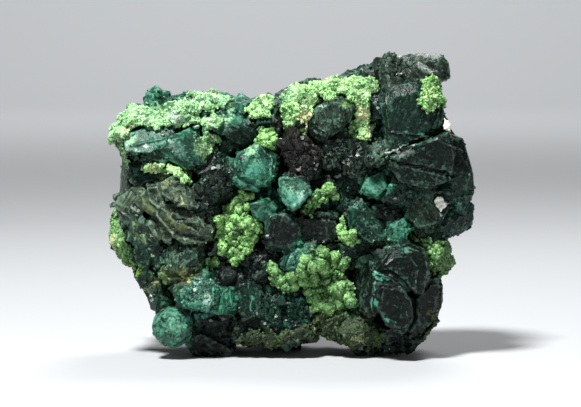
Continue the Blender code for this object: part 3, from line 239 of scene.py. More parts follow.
# %% Rims and grooves
RIMS = [
    (0.42, 0.40, [(16.7, 10.5), (17.2, 17.0), (19.9, 16.7), (22.0, 15.1), (24.1, 11.9),
                  (24.4, 8.8), (22.7, 5.9), (20.9, 6.3), (17.4, 8.4), (16.7, 10.5)]),
    (0.42, 0.40, [(17.6, 18.4), (19.9, 21.4), (23.7, 22.4), (26.9, 21.4), (27.6, 17.5),
                  (26.2, 13.3)]),
    (0.36, 0.30, [(19.4, 19.2), (21.4, 20.8), (24.4, 20.6), (25.8, 18.2), (25.0, 14.6)]),
    (0.34, 0.28, [(18.4, 10.4), (18.8, 14.8), (20.6, 14.4), (22.4, 11.8), (22.4, 8.8)]),
    (0.60, -0.60, [(18.0, 17.8), (20.4, 17.7), (22.9, 15.9), (25.0, 12.6), (25.4, 8.4),
                   (23.6, 5.0)]),
    (0.40, 0.30, [(25.9, 12.2), (28.4, 14.8), (30.6, 14.6), (30.4, 10.2), (28.4, 7.4)]),
    (0.40, 0.32, [(-24.7, 30.8), (-20.3, 31.0), (-15.9, 26.0), (-16.1, 25.0)]),
    (0.70, -0.75, [(-25.5, 29.4), (-21.9, 25.4), (-16.7, 24.1)]),
    (0.60, -0.60, [(-30.8, 30.6), (-26.3, 27.4), (-25.1, 22.9)]),
    (0.36, 0.30, [(-34.4, 30.2), (-31.2, 27.8), (-30.0, 21.3)]),
    (0.60, -0.60, [(-22.6, 28.6), (-17.9, 26.4)]),
    (0.36, 0.30, [(-32.0, 33.8), (-25.9, 34.2), (-24.7, 31.0)]),
    (0.50, -0.50, [(-28.4, 34.6), (-28.0, 31.4), (-25.6, 29.6)]),
    (0.34, 0.28, [(-27.0, 27.0), (-23.6, 23.2), (-24.2, 20.6)]),
    (0.42, 0.38, [(-9.9, 40.7), (-6.0, 42.9), (-3.2, 40.1), (-3.8, 34.5), (-9.0, 36.9),
                  (-9.9, 40.7)]),
    (0.36, 0.30, [(-11.8, 42.0), (-11.2, 36.4), (-9.6, 35.0)]),
    (0.50, -0.55, [(-10.8, 41.6), (-10.2, 36.6), (-4.2, 33.4)]),
    (0.40, 0.34, [(-1.6, 36.0), (3.8, 36.4), (4.6, 32.4), (1.6, 29.8)]),
    (0.40, 0.34, [(-15.4, 48.6), (-9.6, 46.0), (-7.4, 43.4)]),
    (0.50, -0.55, [(-19.0, 46.0), (-14.0, 44.6), (-9.0, 41.8)]),
    (0.40, 0.34, [(-31.0, 42.6), (-22.4, 44.6), (-17.6, 46.6)]),
    (0.40, 0.34, [(-26.4, 42.6), (-21.0, 38.4), (-16.6, 34.8)]),
    (0.50, -0.50, [(-30.6, 40.6), (-25.0, 38.6), (-21.6, 36.4)]),
    (0.36, 0.30, [(19.5, 41.2), (29.5, 43.9), (34.6, 41.6)]),
    (0.55, -0.55, [(19.0, 40.0), (26.4, 38.6), (33.4, 36.6)]),
    (0.36, 0.30, [(19.4, 52.4), (20.2, 45.4), (28.6, 44.6), (30.4, 51.6)]),
    (0.36, 0.30, [(30.6, 31.8), (36.4, 32.6), (37.0, 27.6)]),
    (0.55, -0.55, [(29.6, 32.6), (33.0, 30.2), (31.0, 26.8)]),
    (0.40, 0.34, [(-23.6, 16.2), (-17.4, 16.4), (-14.6, 13.2), (-16.2, 9.6)]),
    (0.36, 0.30, [(-9.4, 16.4), (-8.0, 16.2), (-7.2, 8.8)]),
    (0.36, 0.30, [(-14.4, 25.0), (-8.6, 23.4), (-3.2, 24.6), (-2.4, 28.4)]),
    (0.50, -0.50, [(3.6, 28.4), (9.4, 28.0), (13.2, 24.4)]),
    (0.36, 0.30, [(7.4, 51.2), (11.6, 51.0), (12.4, 46.2), (8.6, 44.8), (5.4, 46.6)]),
]
print(len(RIMS), "rims and grooves")


# %% [markdown]
# A few functions read these lists and work out the colours at many points at once. They move
# each point a little by a smooth noise first, so that no border runs straight.

# %% Read the lists at points of a mesh
BACK_FROM = 1.0
STAINED_TO = 12.0
SOFT_BORDER = 0.35
AXES_SEED = 5


def random_turns(rng, count):
    """Random rotations, as 3 by 3 arrays."""
    q = rng.normal(size=(count, 4))
    w, x, y, z = (q / np.linalg.norm(q, axis=1, keepdims=True)).T
    return np.array([
        [1 - 2 * (y * y + z * z), 2 * (x * y - z * w), 2 * (x * z + y * w)],
        [2 * (x * y + z * w), 1 - 2 * (x * x + z * z), 2 * (y * z - x * w)],
        [2 * (x * z - y * w), 2 * (y * z + x * w), 1 - 2 * (x * x + y * y)],
    ]).transpose(2, 0, 1)


crystal_turns = random_turns(np.random.default_rng(AXES_SEED), len(crystal_places))
print(len(crystal_turns), "crystals have axes of their own")


def wander(points, size, strength):
    """Moves points, in millimetres, by a smooth noise of this size."""
    moved = np.array([noise.noise_vector(Vector(p) / size) for p in points])
    return points + moved * strength


def gaps_at(points):
    """How far points in millimetres are outside each crystal of the list."""
    places = wander(points, 3.0, 1.2)
    gaps = np.hypot(places[:, :1] - crystal_places[:, 0], places[:, 2:] - crystal_places[:, 1])
    return gaps - crystal_places[:, 2]


def along_at(points):
    """The points as each crystal's own axes give them, so that its grain has a direction."""
    own = crystal_turns[gaps_at(points).argmin(axis=1)]
    return np.einsum("nij,nj->ni", own, points)


def shares_at(points):
    """How much points in millimetres belong to each crystal: whole, but for a soft border."""
    gaps = gaps_at(points)
    shares = np.exp(-(gaps - gaps.min(axis=1, keepdims=True)) / SOFT_BORDER)
    return shares / shares.sum(axis=1, keepdims=True)


def mixed(shares, values):
    """The crystals' values at each point, by its shares. A matrix product could differ in its
    last digit from run to run, so the values are added up in a fixed order."""
    return np.einsum("nk,k...->n...", shares, values)


def tone_at(points):
    """The tone of the crystals at points in millimetres, and how much they glitter."""
    shares = shares_at(points)
    return mixed(shares, crystal_tones), mixed(shares, crystal_places[:, 3])


def gap_to_line(places, x, z, end_x, end_z):
    """How far places are, seen from the front, from a line or from a point."""
    x, end_x = x + VIEW_X, end_x + VIEW_X
    run = np.array([end_x - x, end_z - z])
    from_start = places[:, [0, 2]] - (x, z)
    share = np.clip((from_start * run).sum(axis=1) / max((run * run).sum(), 1e-9), 0, 1)
    return np.linalg.norm(from_start - share[:, None] * run, axis=1)


def stain_at(points, stains, veins=()):
    """The colour of the stains at points in millimetres, and how strong they are."""
    places = wander(points, 1.6, 1.0)
    colour = np.zeros((len(points), 3))
    total = np.full(len(points), 1e-6)
    strongest = np.zeros(len(points))
    spots = [(kind, x, z, x, z, reach, strength) for kind, x, z, reach, strength in stains]
    for kind, x, z, end_x, end_z, reach, strength in spots + list(veins):
        gap = gap_to_line(places, x, z, end_x, end_z) / reach
        share = strength * np.clip(1.4 * (1 - gap), 0, 1)
        colour += share[:, None] * np.array(STAIN_COLOURS[kind])
        total += share
        strongest = np.maximum(strongest, share)
    strongest *= np.clip((STAINED_TO - points[:, 1]) / 10, 0, 1)
    return colour / total[:, None], strongest


# %% [markdown]
# ## The skin of the crystals
# Real crystal faces are never as flat as the CAD model's. The mass is rebuilt as an even net
# of small faces, smoothed a little so that its edges are worn round, and then pushed in and
# out by three noises: broad dents, a coarse grain and a fine one. The coarse grain is strong
# only on the crystals that are rough. Ridges, rims and grooves follow. This could be sculpted
# by hand, but a few steps in code treat every crystal alike and can be repeated.

# %% Helpers that read and write a mesh as arrays
def corners_of(obj):
    """The places and normals of a mesh's points, as arrays in millimetres."""
    count = len(obj.data.vertices)
    points = np.empty(count * 3, np.float32)
    normals = np.empty(count * 3, np.float32)
    obj.data.vertices.foreach_get("co", points)
    obj.data.vertices.foreach_get("normal", normals)
    return points.reshape(-1, 3).astype(float) / MM, normals.reshape(-1, 3).astype(float)


def weigh(obj, name, weights):
    """Stores a weight for each point as a vertex group, in steps of a tenth."""
    group = obj.vertex_groups.new(name=name)
    steps = np.round(np.clip(weights, 0, 1) * 10).astype(int)
    for step in range(1, 11):
        group.add(np.flatnonzero(steps == step).tolist(), step / 10, "REPLACE")


def move_points(obj, places):
    """Puts the points of a mesh at these places, which are in metres."""
    obj.data.vertices.foreach_set("co", places.astype(np.float32).ravel())
    obj.data.update()


def stay_in_box(obj):
    """Moves points that stand out of the CAD model's box back to its sides."""
    points, _ = corners_of(obj)
    move_points(obj, np.clip(points * MM, cad_box[0], cad_box[1]))


def triangle_count(obj):
    """How many triangles a mesh has once its larger faces are split."""
    return sum(len(face.vertices) - 2 for face in obj.data.polygons)


def store(obj, name, values):
    """Stores a number, a place or a colour for each point, as an attribute for the materials."""
    if values.ndim == 1:
        stored = obj.data.attributes.new(name, "FLOAT", "POINT")
        stored.data.foreach_set("value", values.astype(np.float32))
        return
    if name == "along":
        stored = obj.data.attributes.new(name, "FLOAT_VECTOR", "POINT")
        stored.data.foreach_set("vector", values.astype(np.float32).ravel())
        return
    colours = np.ones((len(values), 4), np.float32)
    colours[:, :values.shape[1]] = values
    stored = obj.data.attributes.new(name, "FLOAT_COLOR", "POINT")
    stored.data.foreach_set("color", colours.ravel())


# %% [markdown]
# Edges are painted pale, partly as wear and partly as a painted highlight, and hollows are painted
# dark as painted shade. Both are found in the same way: the mesh is smoothed in an array, and each
# point is compared with where it went. Few rounds of smoothing find fine edges, many rounds find
# broad hollows.

# %% Measure edges and hollows
EDGE_ROUNDS = 3
EDGE_HEIGHT = 0.05
HOLLOW_ROUNDS = 60
HOLLOW_DEPTH = 0.6


def bulge(obj, rounds):
    """How far each point stands out of the smoothed surface, in millimetres: above zero on
    edges and below zero in hollows."""
    points, normals = corners_of(obj)
    edges = np.empty(len(obj.data.edges) * 2, np.int32)
    obj.data.edges.foreach_get("vertices", edges)
    a, b = edges.reshape(-1, 2).T
    near = np.bincount(a, minlength=len(points)) + np.bincount(b, minlength=len(points))
    smooth = points.copy()
    for _ in range(rounds):
        total = np.stack([
            np.bincount(a, smooth[b, i], len(points)) + np.bincount(b, smooth[a, i], len(points))
            for i in range(3)], axis=1)
        smooth = 0.5 * smooth + 0.5 * total / near[:, None]
    return ((points - smooth) * normals).sum(axis=1)


def edge_of(obj):
    """How sharp an edge each point is on, from -1 to 1."""
    return np.clip(bulge(obj, EDGE_ROUNDS) / EDGE_HEIGHT, -1, 1)


def hollow_of(obj):
    """How deep in a hollow each point lies, from -1 to 1."""
    return np.clip(-bulge(obj, HOLLOW_ROUNDS) / HOLLOW_DEPTH, -1, 1)


# %% [markdown]
# The voxel remesh gives a closed net of four-sided faces, but it works on many threads, so its
# points come in another order each time. They are sorted by place before anything random is
# set on them.

# %% Put a rebuilt mesh in order
def in_order(obj):
    """Numbers the points and faces of a mesh of four-sided faces by their place."""
    points, _ = corners_of(obj)
    order = np.lexsort(points.T)
    rank = np.empty(len(order), int)
    rank[order] = np.arange(len(order))
    faces = np.empty(len(obj.data.loops), np.int32)
    obj.data.loops.foreach_get("vertex_index", faces)
    faces = rank[faces.reshape(-1, 4)]
    turn = faces.argmin(axis=1)[:, None] + np.arange(4)
    faces = np.take_along_axis(faces, turn % 4, axis=1)
    faces = faces[np.lexsort(faces.T[::-1])]
    obj.data.clear_geometry()
    obj.data.from_pydata(points[order] * MM, [], faces.tolist())
    obj.data.update()


# %% [markdown]
# Blender's Displace modifier moves each point along its normal by a texture. Clouds give soft
# dents, and Voronoi gives grains with creases between them.

# %% Push a surface in and out by a noise
def noise_texture(name, kind, size, **settings):
    """A texture whose lumps are about this many millimetres across."""
    texture = bpy.data.textures.new(name, kind)
    texture.noise_scale = size * MM
    for key, value in settings.items():
        setattr(texture, key, value)
    return texture


def roughen(obj, texture, height, group="", middle=0.5):
    """Moves the surface in and out by a texture, height millimetres in all."""
    modify(obj, "DISPLACE", texture=texture, texture_coords="LOCAL", strength=height * MM,
           mid_level=middle, vertex_group=group)


dents = noise_texture("dents", "CLOUDS", 3.2, noise_depth=2)
coarse_grain = noise_texture("coarse grain", "VORONOI", 0.9, distance_metric="DISTANCE")
fine_grain = noise_texture("fine grain", "CLOUDS", 0.55, noise_depth=3)

# %% [markdown]
# Crystals of this kind show growth ridges along one direction. The noise for them is read in
# each crystal's own axes and drawn out along one of these. The rims and grooves of the list
# above are raised by given heights.

# %% Raise fine ridges along each crystal
RIDGE_ACROSS = 0.8
RIDGE_ALONG = 16.0


def raise_ridges(obj, height):
    """Growth ridges that run along each crystal's own axis, height millimetres high."""
    points, normals = corners_of(obj)
    own = along_at(points) / (RIDGE_ACROSS, RIDGE_ACROSS, RIDGE_ALONG)
    waves = np.array([noise.noise(Vector(p)) for p in own])
    ridged = mixed(shares_at(points), crystal_places[:, 4])
    rise = (0.5 - np.minimum(1, 2.5 * np.abs(waves))) * ridged
    move_points(obj, (points + normals * rise[:, None] * height) * MM)


def rise_at(points, spread=1.0):
    """How high the rims stand at points in millimetres, and how deep the grooves are."""
    places = wander(points, 1.5, 0.2)
    rise = np.zeros(len(points))
    for width, height, line in RIMS:
        for start, end in zip(line, line[1:]):
            near = np.clip(1 - gap_to_line(places, *start, *end) / (width * spread), 0, 1)
            rise = np.where(np.abs(height) * near > np.abs(rise), height * near, rise)
    return rise * np.clip((BACK_FROM - points[:, 1]) / 3, 0, 1)


def raise_rims(obj):
    """Lifts the rims out of the surface and sinks the grooves into it."""
    points, normals = corners_of(obj)
    move_points(obj, (points + normals * rise_at(points)[:, None]) * MM)


# %% [markdown]
# Now the skin itself. The net starts fine enough for the ridges and is thinned at the end,
# which takes most of the triangles from the flat places.

# %% Make the crystals' skin
SKIN_NET = 0.25
SKIN_MOST = 185000
LEAST_ROUGH = 0.12
DENTS_DEEP = 0.10
COARSE_DEEP = 0.42
FINE_DEEP = 0.09
RIDGES_HIGH = 0.26
CORNER_ANGLE = math.radians(24)

crystals = merged_copy("crystals", "crystal_mass")
modify(crystals, "REMESH", mode="VOXEL", voxel_size=SKIN_NET * MM)
in_order(crystals)
modify(crystals, "SMOOTH", factor=0.5, iterations=1)
points, _ = corners_of(crystals)
_, skin_glitter = tone_at(points)
weigh(crystals, "rough", LEAST_ROUGH + (1 - LEAST_ROUGH) * skin_glitter)
roughen(crystals, dents, DENTS_DEEP)
roughen(crystals, coarse_grain, -COARSE_DEEP, "rough")
roughen(crystals, fine_grain, FINE_DEEP)
raise_ridges(crystals, RIDGES_HIGH)
raise_rims(crystals)
skin_points, skin_normals = corners_of(crystals)
skin_hollow = hollow_of(crystals)
fine_count = triangle_count(crystals)
modify(crystals, "DECIMATE", ratio=min(1.0, SKIN_MOST / fine_count))
crystals.vertex_groups.clear()
stay_in_box(crystals)
bpy.ops.object.shade_smooth_by_angle(angle=CORNER_ANGLE)
print("crystals:", fine_count, "triangles before and", triangle_count(crystals), "after")

# %% [markdown]
# The material can't know which crystal a point belongs to, or whether it lies in a hollow. So
# this is worked out here for each point and stored as attributes.

# %% Store what the material reads
points, _ = corners_of(crystals)
tone, glitter = tone_at(points)
stain, strength = stain_at(points, STAINS, VEINS)
store(crystals, "tone", tone)
store(crystals, "stain", np.column_stack([stain, strength]))
store(crystals, "glitter", glitter)
store(crystals, "along", along_at(points))
store(crystals, "edge", edge_of(crystals))
store(crystals, "hollow", hollow_of(crystals))
print("edges, hollows, tones and stains are stored at", len(points), "points")


# %% [markdown]
# ## Materials from small tools
# Both minerals share two effects, so each effect is a node group of its own. Speckle lays
# small irregular grains of one colour over another. Relief adds up fine bumps. The groups
# only work out colours and heights: the shader itself stays in the material.

# %% Helpers for node trees
def socket(group, name, kind, way, value=None):
    """Adds a named input or output to a group, with its usual value."""
    made = group.interface.new_socket(name=name, in_out=way, socket_type=kind)
    if value is not None:
        made.default_value = value


def feed(tree, target, value):
    """Links an output to this input, or sets the input to a plain value."""
    if isinstance(value, bpy.types.NodeSocket):
        tree.links.new(value, target)
    else:
        target.default_value = value


def opaque(colour):
    """A plain colour with its alpha. An output is given back as it is."""
    return colour if isinstance(colour, bpy.types.NodeSocket) else (*colour[:3], 1.0)


def put(tree, kind, inputs=None, **settings):
    """Adds a node with its settings, and sets or links its inputs."""
    node = tree.nodes.new(kind)
    for name, value in settings.items():
        setattr(node, name, value)
    for name, value in (inputs or {}).items():
        feed(tree, node.inputs[name], value)
    return node


def maths(tree, operation, *values, clamp=False):
    """Adds a Math node and gives its output."""
    node = tree.nodes.new("ShaderNodeMath")
    node.operation = operation
    node.use_clamp = clamp
    for i, value in enumerate(values):
        feed(tree, node.inputs[i], value)
    return node.outputs[0]


def between(tree, value, low, high):
    """A mask that rises smoothly from 0 at low to 1 at high."""
    node = put(tree, "ShaderNodeMapRange", {"Value": value, "From Min": low, "From Max": high},
               interpolation_type="SMOOTHSTEP", clamp=True)
    return node.outputs["Result"]


def blend(tree, factor, first, second, way="MIX"):
    """Mixes two colours: a factor of 0 gives the first, and 1 the second."""
    node = tree.nodes.new("ShaderNodeMix")
    node.data_type = "RGBA"
    node.blend_type = way
    given = {"Factor_Float": factor, "A_Color": opaque(first), "B_Color": opaque(second)}
    for name, value in given.items():
        feed(tree, next(s for s in node.inputs if s.identifier == name), value)
    return next(s for s in node.outputs if s.identifier == "Result_Color")


def tinted(tree, colour, tint):
    """A colour multiplied by another."""
    return blend(tree, 1.0, colour, tint, "MULTIPLY")


def add_bump(tree, shader, height, strength, depth):
    """Bends the light on a surface as relief of this many millimetres would."""
    bump = put(tree, "ShaderNodeBump", {"Height": height, "Strength": strength,
                                        "Distance": depth * MM})
    tree.links.new(bump.outputs["Normal"], shader.inputs["Normal"])


def cloud(tree, place, size, detail=3.0, rough=0.55):
    """A soft noise whose lumps are about this many millimetres across."""
    node = put(tree, "ShaderNodeTexNoise", {"Vector": place, "Scale": 1 / (size * MM),
                                            "Detail": detail, "Roughness": rough})
    return node.outputs["Fac"]


def cells(tree, place, size, feature="F1", output="Distance"):
    """Grains about this many millimetres across."""
    node = put(tree, "ShaderNodeTexVoronoi", {"Vector": place, "Scale": 1 / (size * MM)},
               feature=feature)
    return node.outputs[output]


def streaks(tree, along, width):
    """A noise drawn out along the third axis of the crystal's own axes."""
    drawn = put(tree, "ShaderNodeMapping", {"Vector": along, "Scale": (1.0, 1.0, 0.14)})
    node = put(tree, "ShaderNodeTexNoise", {"Vector": drawn.outputs["Vector"], "Scale": 1 / width,
                                            "Detail": 4.0, "Roughness": 0.6})
    return node.outputs["Fac"]


def attribute(tree, name):
    return put(tree, "ShaderNodeAttribute", attribute_name=name, attribute_type="GEOMETRY")


# %% The speckle group
def make_speckle():
    group = bpy.data.node_groups.new("speckle", "ShaderNodeTree")
    socket(group, "Under", "NodeSocketColor", "INPUT")
    socket(group, "Over", "NodeSocketColor", "INPUT")
    socket(group, "Size mm", "NodeSocketFloat", "INPUT", 0.5)
    socket(group, "Amount", "NodeSocketFloat", "INPUT", 0.5)
    socket(group, "Colour", "NodeSocketColor", "OUTPUT")
    socket(group, "Mask", "NodeSocketFloat", "OUTPUT")
    start = group.nodes.new("NodeGroupInput")
    place = put(group, "ShaderNodeTexCoord").outputs["Object"]
    scale = maths(group, "DIVIDE", 1 / MM, start.outputs["Size mm"])
    lumps = put(group, "ShaderNodeTexNoise", {"Vector": place, "Scale": scale, "Detail": 4.0,
                                              "Roughness": 0.6}).outputs["Fac"]
    patches = put(group, "ShaderNodeTexNoise",
                  {"Vector": place, "Scale": maths(group, "MULTIPLY", scale, 0.23),
                   "Detail": 2.0}).outputs["Fac"]
    both = maths(group, "MULTIPLY_ADD", patches, 0.5, maths(group, "MULTIPLY", lumps, 0.5))
    limit = put(group, "ShaderNodeMapRange", {"Value": start.outputs["Amount"],
                                              "To Min": 0.72, "To Max": 0.28}).outputs["Result"]
    mask = between(group, both, maths(group, "SUBTRACT", limit, 0.08),
                   maths(group, "ADD", limit, 0.08))
    end = group.nodes.new("NodeGroupOutput")
    colour = blend(group, mask, start.outputs["Under"], start.outputs["Over"])
    group.links.new(colour, end.inputs["Colour"])
    group.links.new(mask, end.inputs["Mask"])
    return group


speckle_group = make_speckle()


def speckle(tree, under, over, size, amount):
    """Grains of one colour over another. It gives the colour and where the grains are."""
    given = {"Under": opaque(under), "Over": opaque(over), "Size mm": size, "Amount": amount}
    node = put(tree, "ShaderNodeGroup", given, node_tree=speckle_group)
    return node.outputs["Colour"], node.outputs["Mask"]


# %% The relief group
def make_relief():
    group = bpy.data.node_groups.new("relief", "ShaderNodeTree")
    socket(group, "Along", "NodeSocketVector", "INPUT")
    socket(group, "Grain mm", "NodeSocketFloat", "INPUT", 0.4)
    socket(group, "Grain", "NodeSocketFloat", "INPUT", 0.5)
    socket(group, "Scratches", "NodeSocketFloat", "INPUT", 0.3)
    socket(group, "Height", "NodeSocketFloat", "OUTPUT")
    start = group.nodes.new("NodeGroupInput")
    place = put(group, "ShaderNodeTexCoord").outputs["Object"]
    scale = maths(group, "DIVIDE", 1 / MM, start.outputs["Grain mm"])
    grains = put(group, "ShaderNodeTexVoronoi", {"Vector": place, "Scale": scale}).outputs[0]
    lumps = put(group, "ShaderNodeTexNoise", {"Vector": place, "Scale": scale,
                                              "Detail": 5.0, "Roughness": 0.6}).outputs["Fac"]
    lines = streaks(group, start.outputs["Along"], 0.28)
    grain = maths(group, "SUBTRACT", lumps, maths(group, "MULTIPLY", grains, 0.6))
    height = maths(group, "MULTIPLY_ADD", grain, start.outputs["Grain"],
                   maths(group, "MULTIPLY", lines, start.outputs["Scratches"]))
    end = group.nodes.new("NodeGroupOutput")
    group.links.new(height, end.inputs["Height"])
    return group


relief_group = make_relief()


def relief(tree, along, grain_size, grain, scratches):
    """The height of fine grain and of scratches that run along a crystal."""
    given = {"Along": along, "Grain mm": grain_size, "Grain": grain, "Scratches": scratches}
    node = put(tree, "ShaderNodeGroup", given, node_tree=relief_group)
    return node.outputs["Height"]


# %% [markdown]
# ## The crystals' material
# The tone stored on the skin is varied by a soft noise and flecked with darker and paler
# grains, and pale specks are painted on as glints. Edges are paler and greener, partly because
# they are chipped and the light goes a little way into them, and partly as a painted highlight.
# Hollows fade to nearly black as painted shade. The stains lie on top as fine grains. Smooth
# crystals are satin, rough ones are glossier in their tiny faces.

# %% The crystals' material
NEARLY_BLACK = (0.002, 0.005, 0.004)
GREEN_FLECK = (0.010, 0.055, 0.036)
# The spark colour is a painted glint.
PAINTED_GLINT = (0.24, 0.38, 0.31)
PALE_LINE = (0.20, 0.34, 0.28)
# The chipped colour is partly wear and partly a painted edge highlight.
CHIPPED_AND_HIGHLIT = (0.16, 0.30, 0.23)


def new_material(name):
    """A new material, its nodes, and its Principled BSDF."""
    made = bpy.data.materials.new(name)
    made.use_nodes = True
    tree = made.node_tree
    return made, tree, tree.nodes["Principled BSDF"]


def make_crystal_material():
    made, tree, shader = new_material("dark green crystal")
    place = put(tree, "ShaderNodeTexCoord").outputs["Object"]
    tone = attribute(tree, "tone").outputs["Color"]
    stain = attribute(tree, "stain")
    glitter = attribute(tree, "glitter").outputs["Fac"]
    edge = attribute(tree, "edge").outputs["Fac"]
    hollow = attribute(tree, "hollow").outputs["Fac"]
    along = attribute(tree, "along").outputs["Vector"]
    light = tinted(tree, tone, (1.4, 1.45, 1.4))
    dark = tinted(tree, tone, (0.30, 0.36, 0.36))
    colour = blend(tree, between(tree, cloud(tree, place, 2.4), 0.30, 0.70), dark, light)
    lines = streaks(tree, along, 0.55)
    colour = blend(tree, maths(tree, "MULTIPLY", between(tree, lines, 0.52, 0.68), 0.6), colour,
                   blend(tree, 0.04, tinted(tree, tone, (2.2, 2.3, 2.2)), PALE_LINE))
    colour = blend(tree, maths(tree, "MULTIPLY", between(tree, lines, 0.48, 0.34), 0.8), colour,
                   tinted(tree, tone, (0.2, 0.25, 0.25)))
    colour, _ = speckle(tree, colour, GREEN_FLECK, 0.7, 0.12)
    colour, _ = speckle(tree, colour, NEARLY_BLACK, 0.3, 0.36)
    # Painted glints: pale specks where the tiny faces would catch the light.
    painted_glints = between(tree, cloud(tree, place, 0.22, 2.0), 0.62, 0.72)
    painted_glints = maths(tree, "MULTIPLY", painted_glints, maths(tree, "MULTIPLY_ADD", glitter, 0.6, 0.09))
    colour = blend(tree, painted_glints, colour, PAINTED_GLINT)
    # Edges painted paler and greener: partly wear, partly a painted highlight.
    wear_and_edge_highlight = maths(tree, "MULTIPLY", between(tree, edge, 0.25, 0.95),
                 between(tree, cloud(tree, place, 0.8), 0.40, 0.60))
    pale = blend(tree, 0.25, tinted(tree, tone, (2.8, 3.0, 2.8)), CHIPPED_AND_HIGHLIT)
    colour = blend(tree, maths(tree, "MULTIPLY", wear_and_edge_highlight, 0.8), colour, pale)
    # Painted shade: hollows fade towards nearly black.
    deep = between(tree, hollow, 0.15, 0.9)
    colour = blend(tree, maths(tree, "MULTIPLY", deep, 0.8), colour, NEARLY_BLACK)
    powder_amount = maths(tree, "MULTIPLY", stain.outputs["Alpha"],
                          maths(tree, "SUBTRACT", 1.0, maths(tree, "MULTIPLY", deep, 0.5)))
    colour, powder = speckle(tree, colour, stain.outputs["Color"], 0.45, powder_amount)
    tree.links.new(colour, shader.inputs["Base Color"])
    roughness = maths(tree, "ADD", 0.16, maths(tree, "MULTIPLY", cloud(tree, place, 0.7), 0.26))
    roughness = maths(tree, "SUBTRACT", roughness, maths(tree, "MULTIPLY", glitter, 0.08))
    roughness = maths(tree, "MULTIPLY_ADD", powder, 0.3, roughness, clamp=True)
    tree.links.new(roughness, shader.inputs["Roughness"])
    grain = maths(tree, "MULTIPLY_ADD", glitter, 0.9, 0.14)
    scratches = maths(tree, "SUBTRACT", 0.36, maths(tree, "MULTIPLY", glitter, 0.2))
    add_bump(tree, shader, relief(tree, along, 0.40, grain, scratches), 0.8, 0.30)
    shader.inputs["Specular IOR Level"].default_value = 0.17
    return made


crystal_material = make_crystal_material()


def finish(piece, look, slot_name, *replaced):
    """Gives a finished piece its material and its place in the frame."""
    piece.data.materials.clear()
    piece.data.materials.append(look)
    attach(piece, "root")
    if replaced:
        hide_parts(*replaced)
    print(piece.name, "has", triangle_count(piece), "triangles")


finish(crystals, crystal_material, "green_crystal", "crystal_mass")


# %% [markdown]
# ## Smaller crystals
# Between the big crystals sit smaller ones, one to four millimetres across, and the rough
# crystals are covered in tiny ones whose flat faces catch the light one by one. Three model
# crystals are made, and two simpler ones for the tiny sizes: a cube is cut by slanting planes
# and each cut is closed with a flat face. They are copied hundreds or thousands of times, each
# turned and sized at random from a fixed seed.

# %% Model crystals
def cleave(point, direction):
    """Cuts the mesh in edit mode with a plane, drops what lies beyond and closes the cut."""
    bpy.ops.mesh.select_all(action="SELECT")
    bpy.ops.mesh.bisect(plane_co=point, plane_no=direction, use_fill=True, clear_outer=True)


def model_crystal(name, size, cuts):
    """A block of this size with its corners cut away."""
    bpy.ops.object.select_all(action="DESELECT")
    bpy.ops.mesh.primitive_cube_add(size=1)
    model = bpy.context.object
    model.name = name
    bpy.ops.transform.resize(value=size)
    bpy.ops.object.transform_apply(scale=True)
    bpy.ops.object.mode_set(mode="EDIT")
    for point, direction in cuts:
        cleave(point, direction)
    bpy.ops.object.mode_set(mode="OBJECT")
    return model


MODEL_CRYSTALS = [
    model_crystal("blocky crystal", (1.0, 0.8, 1.1), [
        ((0.3, 0.25, 0.4), (1, 1, 1.2)), ((-0.35, 0.3, 0.3), (-1, 0.8, 1)),
        ((0.3, -0.25, 0.35), (0.9, -1, 0.7)), ((-0.3, -0.3, -0.2), (-1, -1, -0.3))]),
    model_crystal("long crystal", (0.6, 0.6, 1.6), [
        ((0.2, 0.2, 0.6), (1, 0.6, 1.4)), ((-0.2, 0.15, 0.55), (-1, 0.5, 1.2)),
        ((0.0, -0.25, 0.5), (0.1, -1, 0.9))]),
    model_crystal("flat crystal", (1.3, 1.1, 0.5), [
        ((0.45, 0.3, 0.1), (1, 0.9, 0.7)), ((-0.5, 0.2, 0.1), (-1, 0.4, 0.9)),
        ((0.1, -0.45, 0.1), (0.2, -1, 0.6)), ((0.5, -0.4, 0), (1, -0.8, 0.1))]),
]
MODEL_GRAINS = [
    model_crystal("blunt crystal", (1.0, 0.8, 0.9), [((0.25, 0.2, 0.3), (1, 0.8, 1.2))]),
    model_crystal("slanted crystal", (0.7, 0.8, 1.2), [((0.0, 0.1, 0.45), (0.8, 0.5, 1.4))]),
]
print("model crystals have",
      [len(model.data.polygons) for model in MODEL_CRYSTALS + MODEL_GRAINS], "faces")


# %% [markdown]
# A shape that is copied thousands of times is kept as an array of its corners. Each copy is
# that array turned, sized and moved, and all copies go into one mesh.

# %% Scatter copies of models over a surface
def spots_on(obj, count, chance, rng):
    """Random places on a mesh in millimetres with their normals, more where chance is high."""
    obj.data.calc_loop_triangles()
    triangles = np.empty(len(obj.data.loop_triangles) * 3, np.int32)
    obj.data.loop_triangles.foreach_get("vertices", triangles)
    points, _ = corners_of(obj)
    a, b, c = points[triangles.reshape(-1, 3)].transpose(1, 0, 2)
    cross = np.cross(b - a, c - a)
    area = np.linalg.norm(cross, axis=1)
    odds = area * chance((a + b + c) / 3, cross / np.maximum(area, 1e-12)[:, None])
    chosen = rng.choice(len(odds), count, p=odds / odds.sum())
    u, v = rng.random((2, count, 1))
    over = u + v > 1
    u, v = np.where(over, 1 - u, u), np.where(over, 1 - v, v)
    places = a[chosen] + u * (b - a)[chosen] + v * (c - a)[chosen]
    return places, cross[chosen] / area[chosen][:, None]


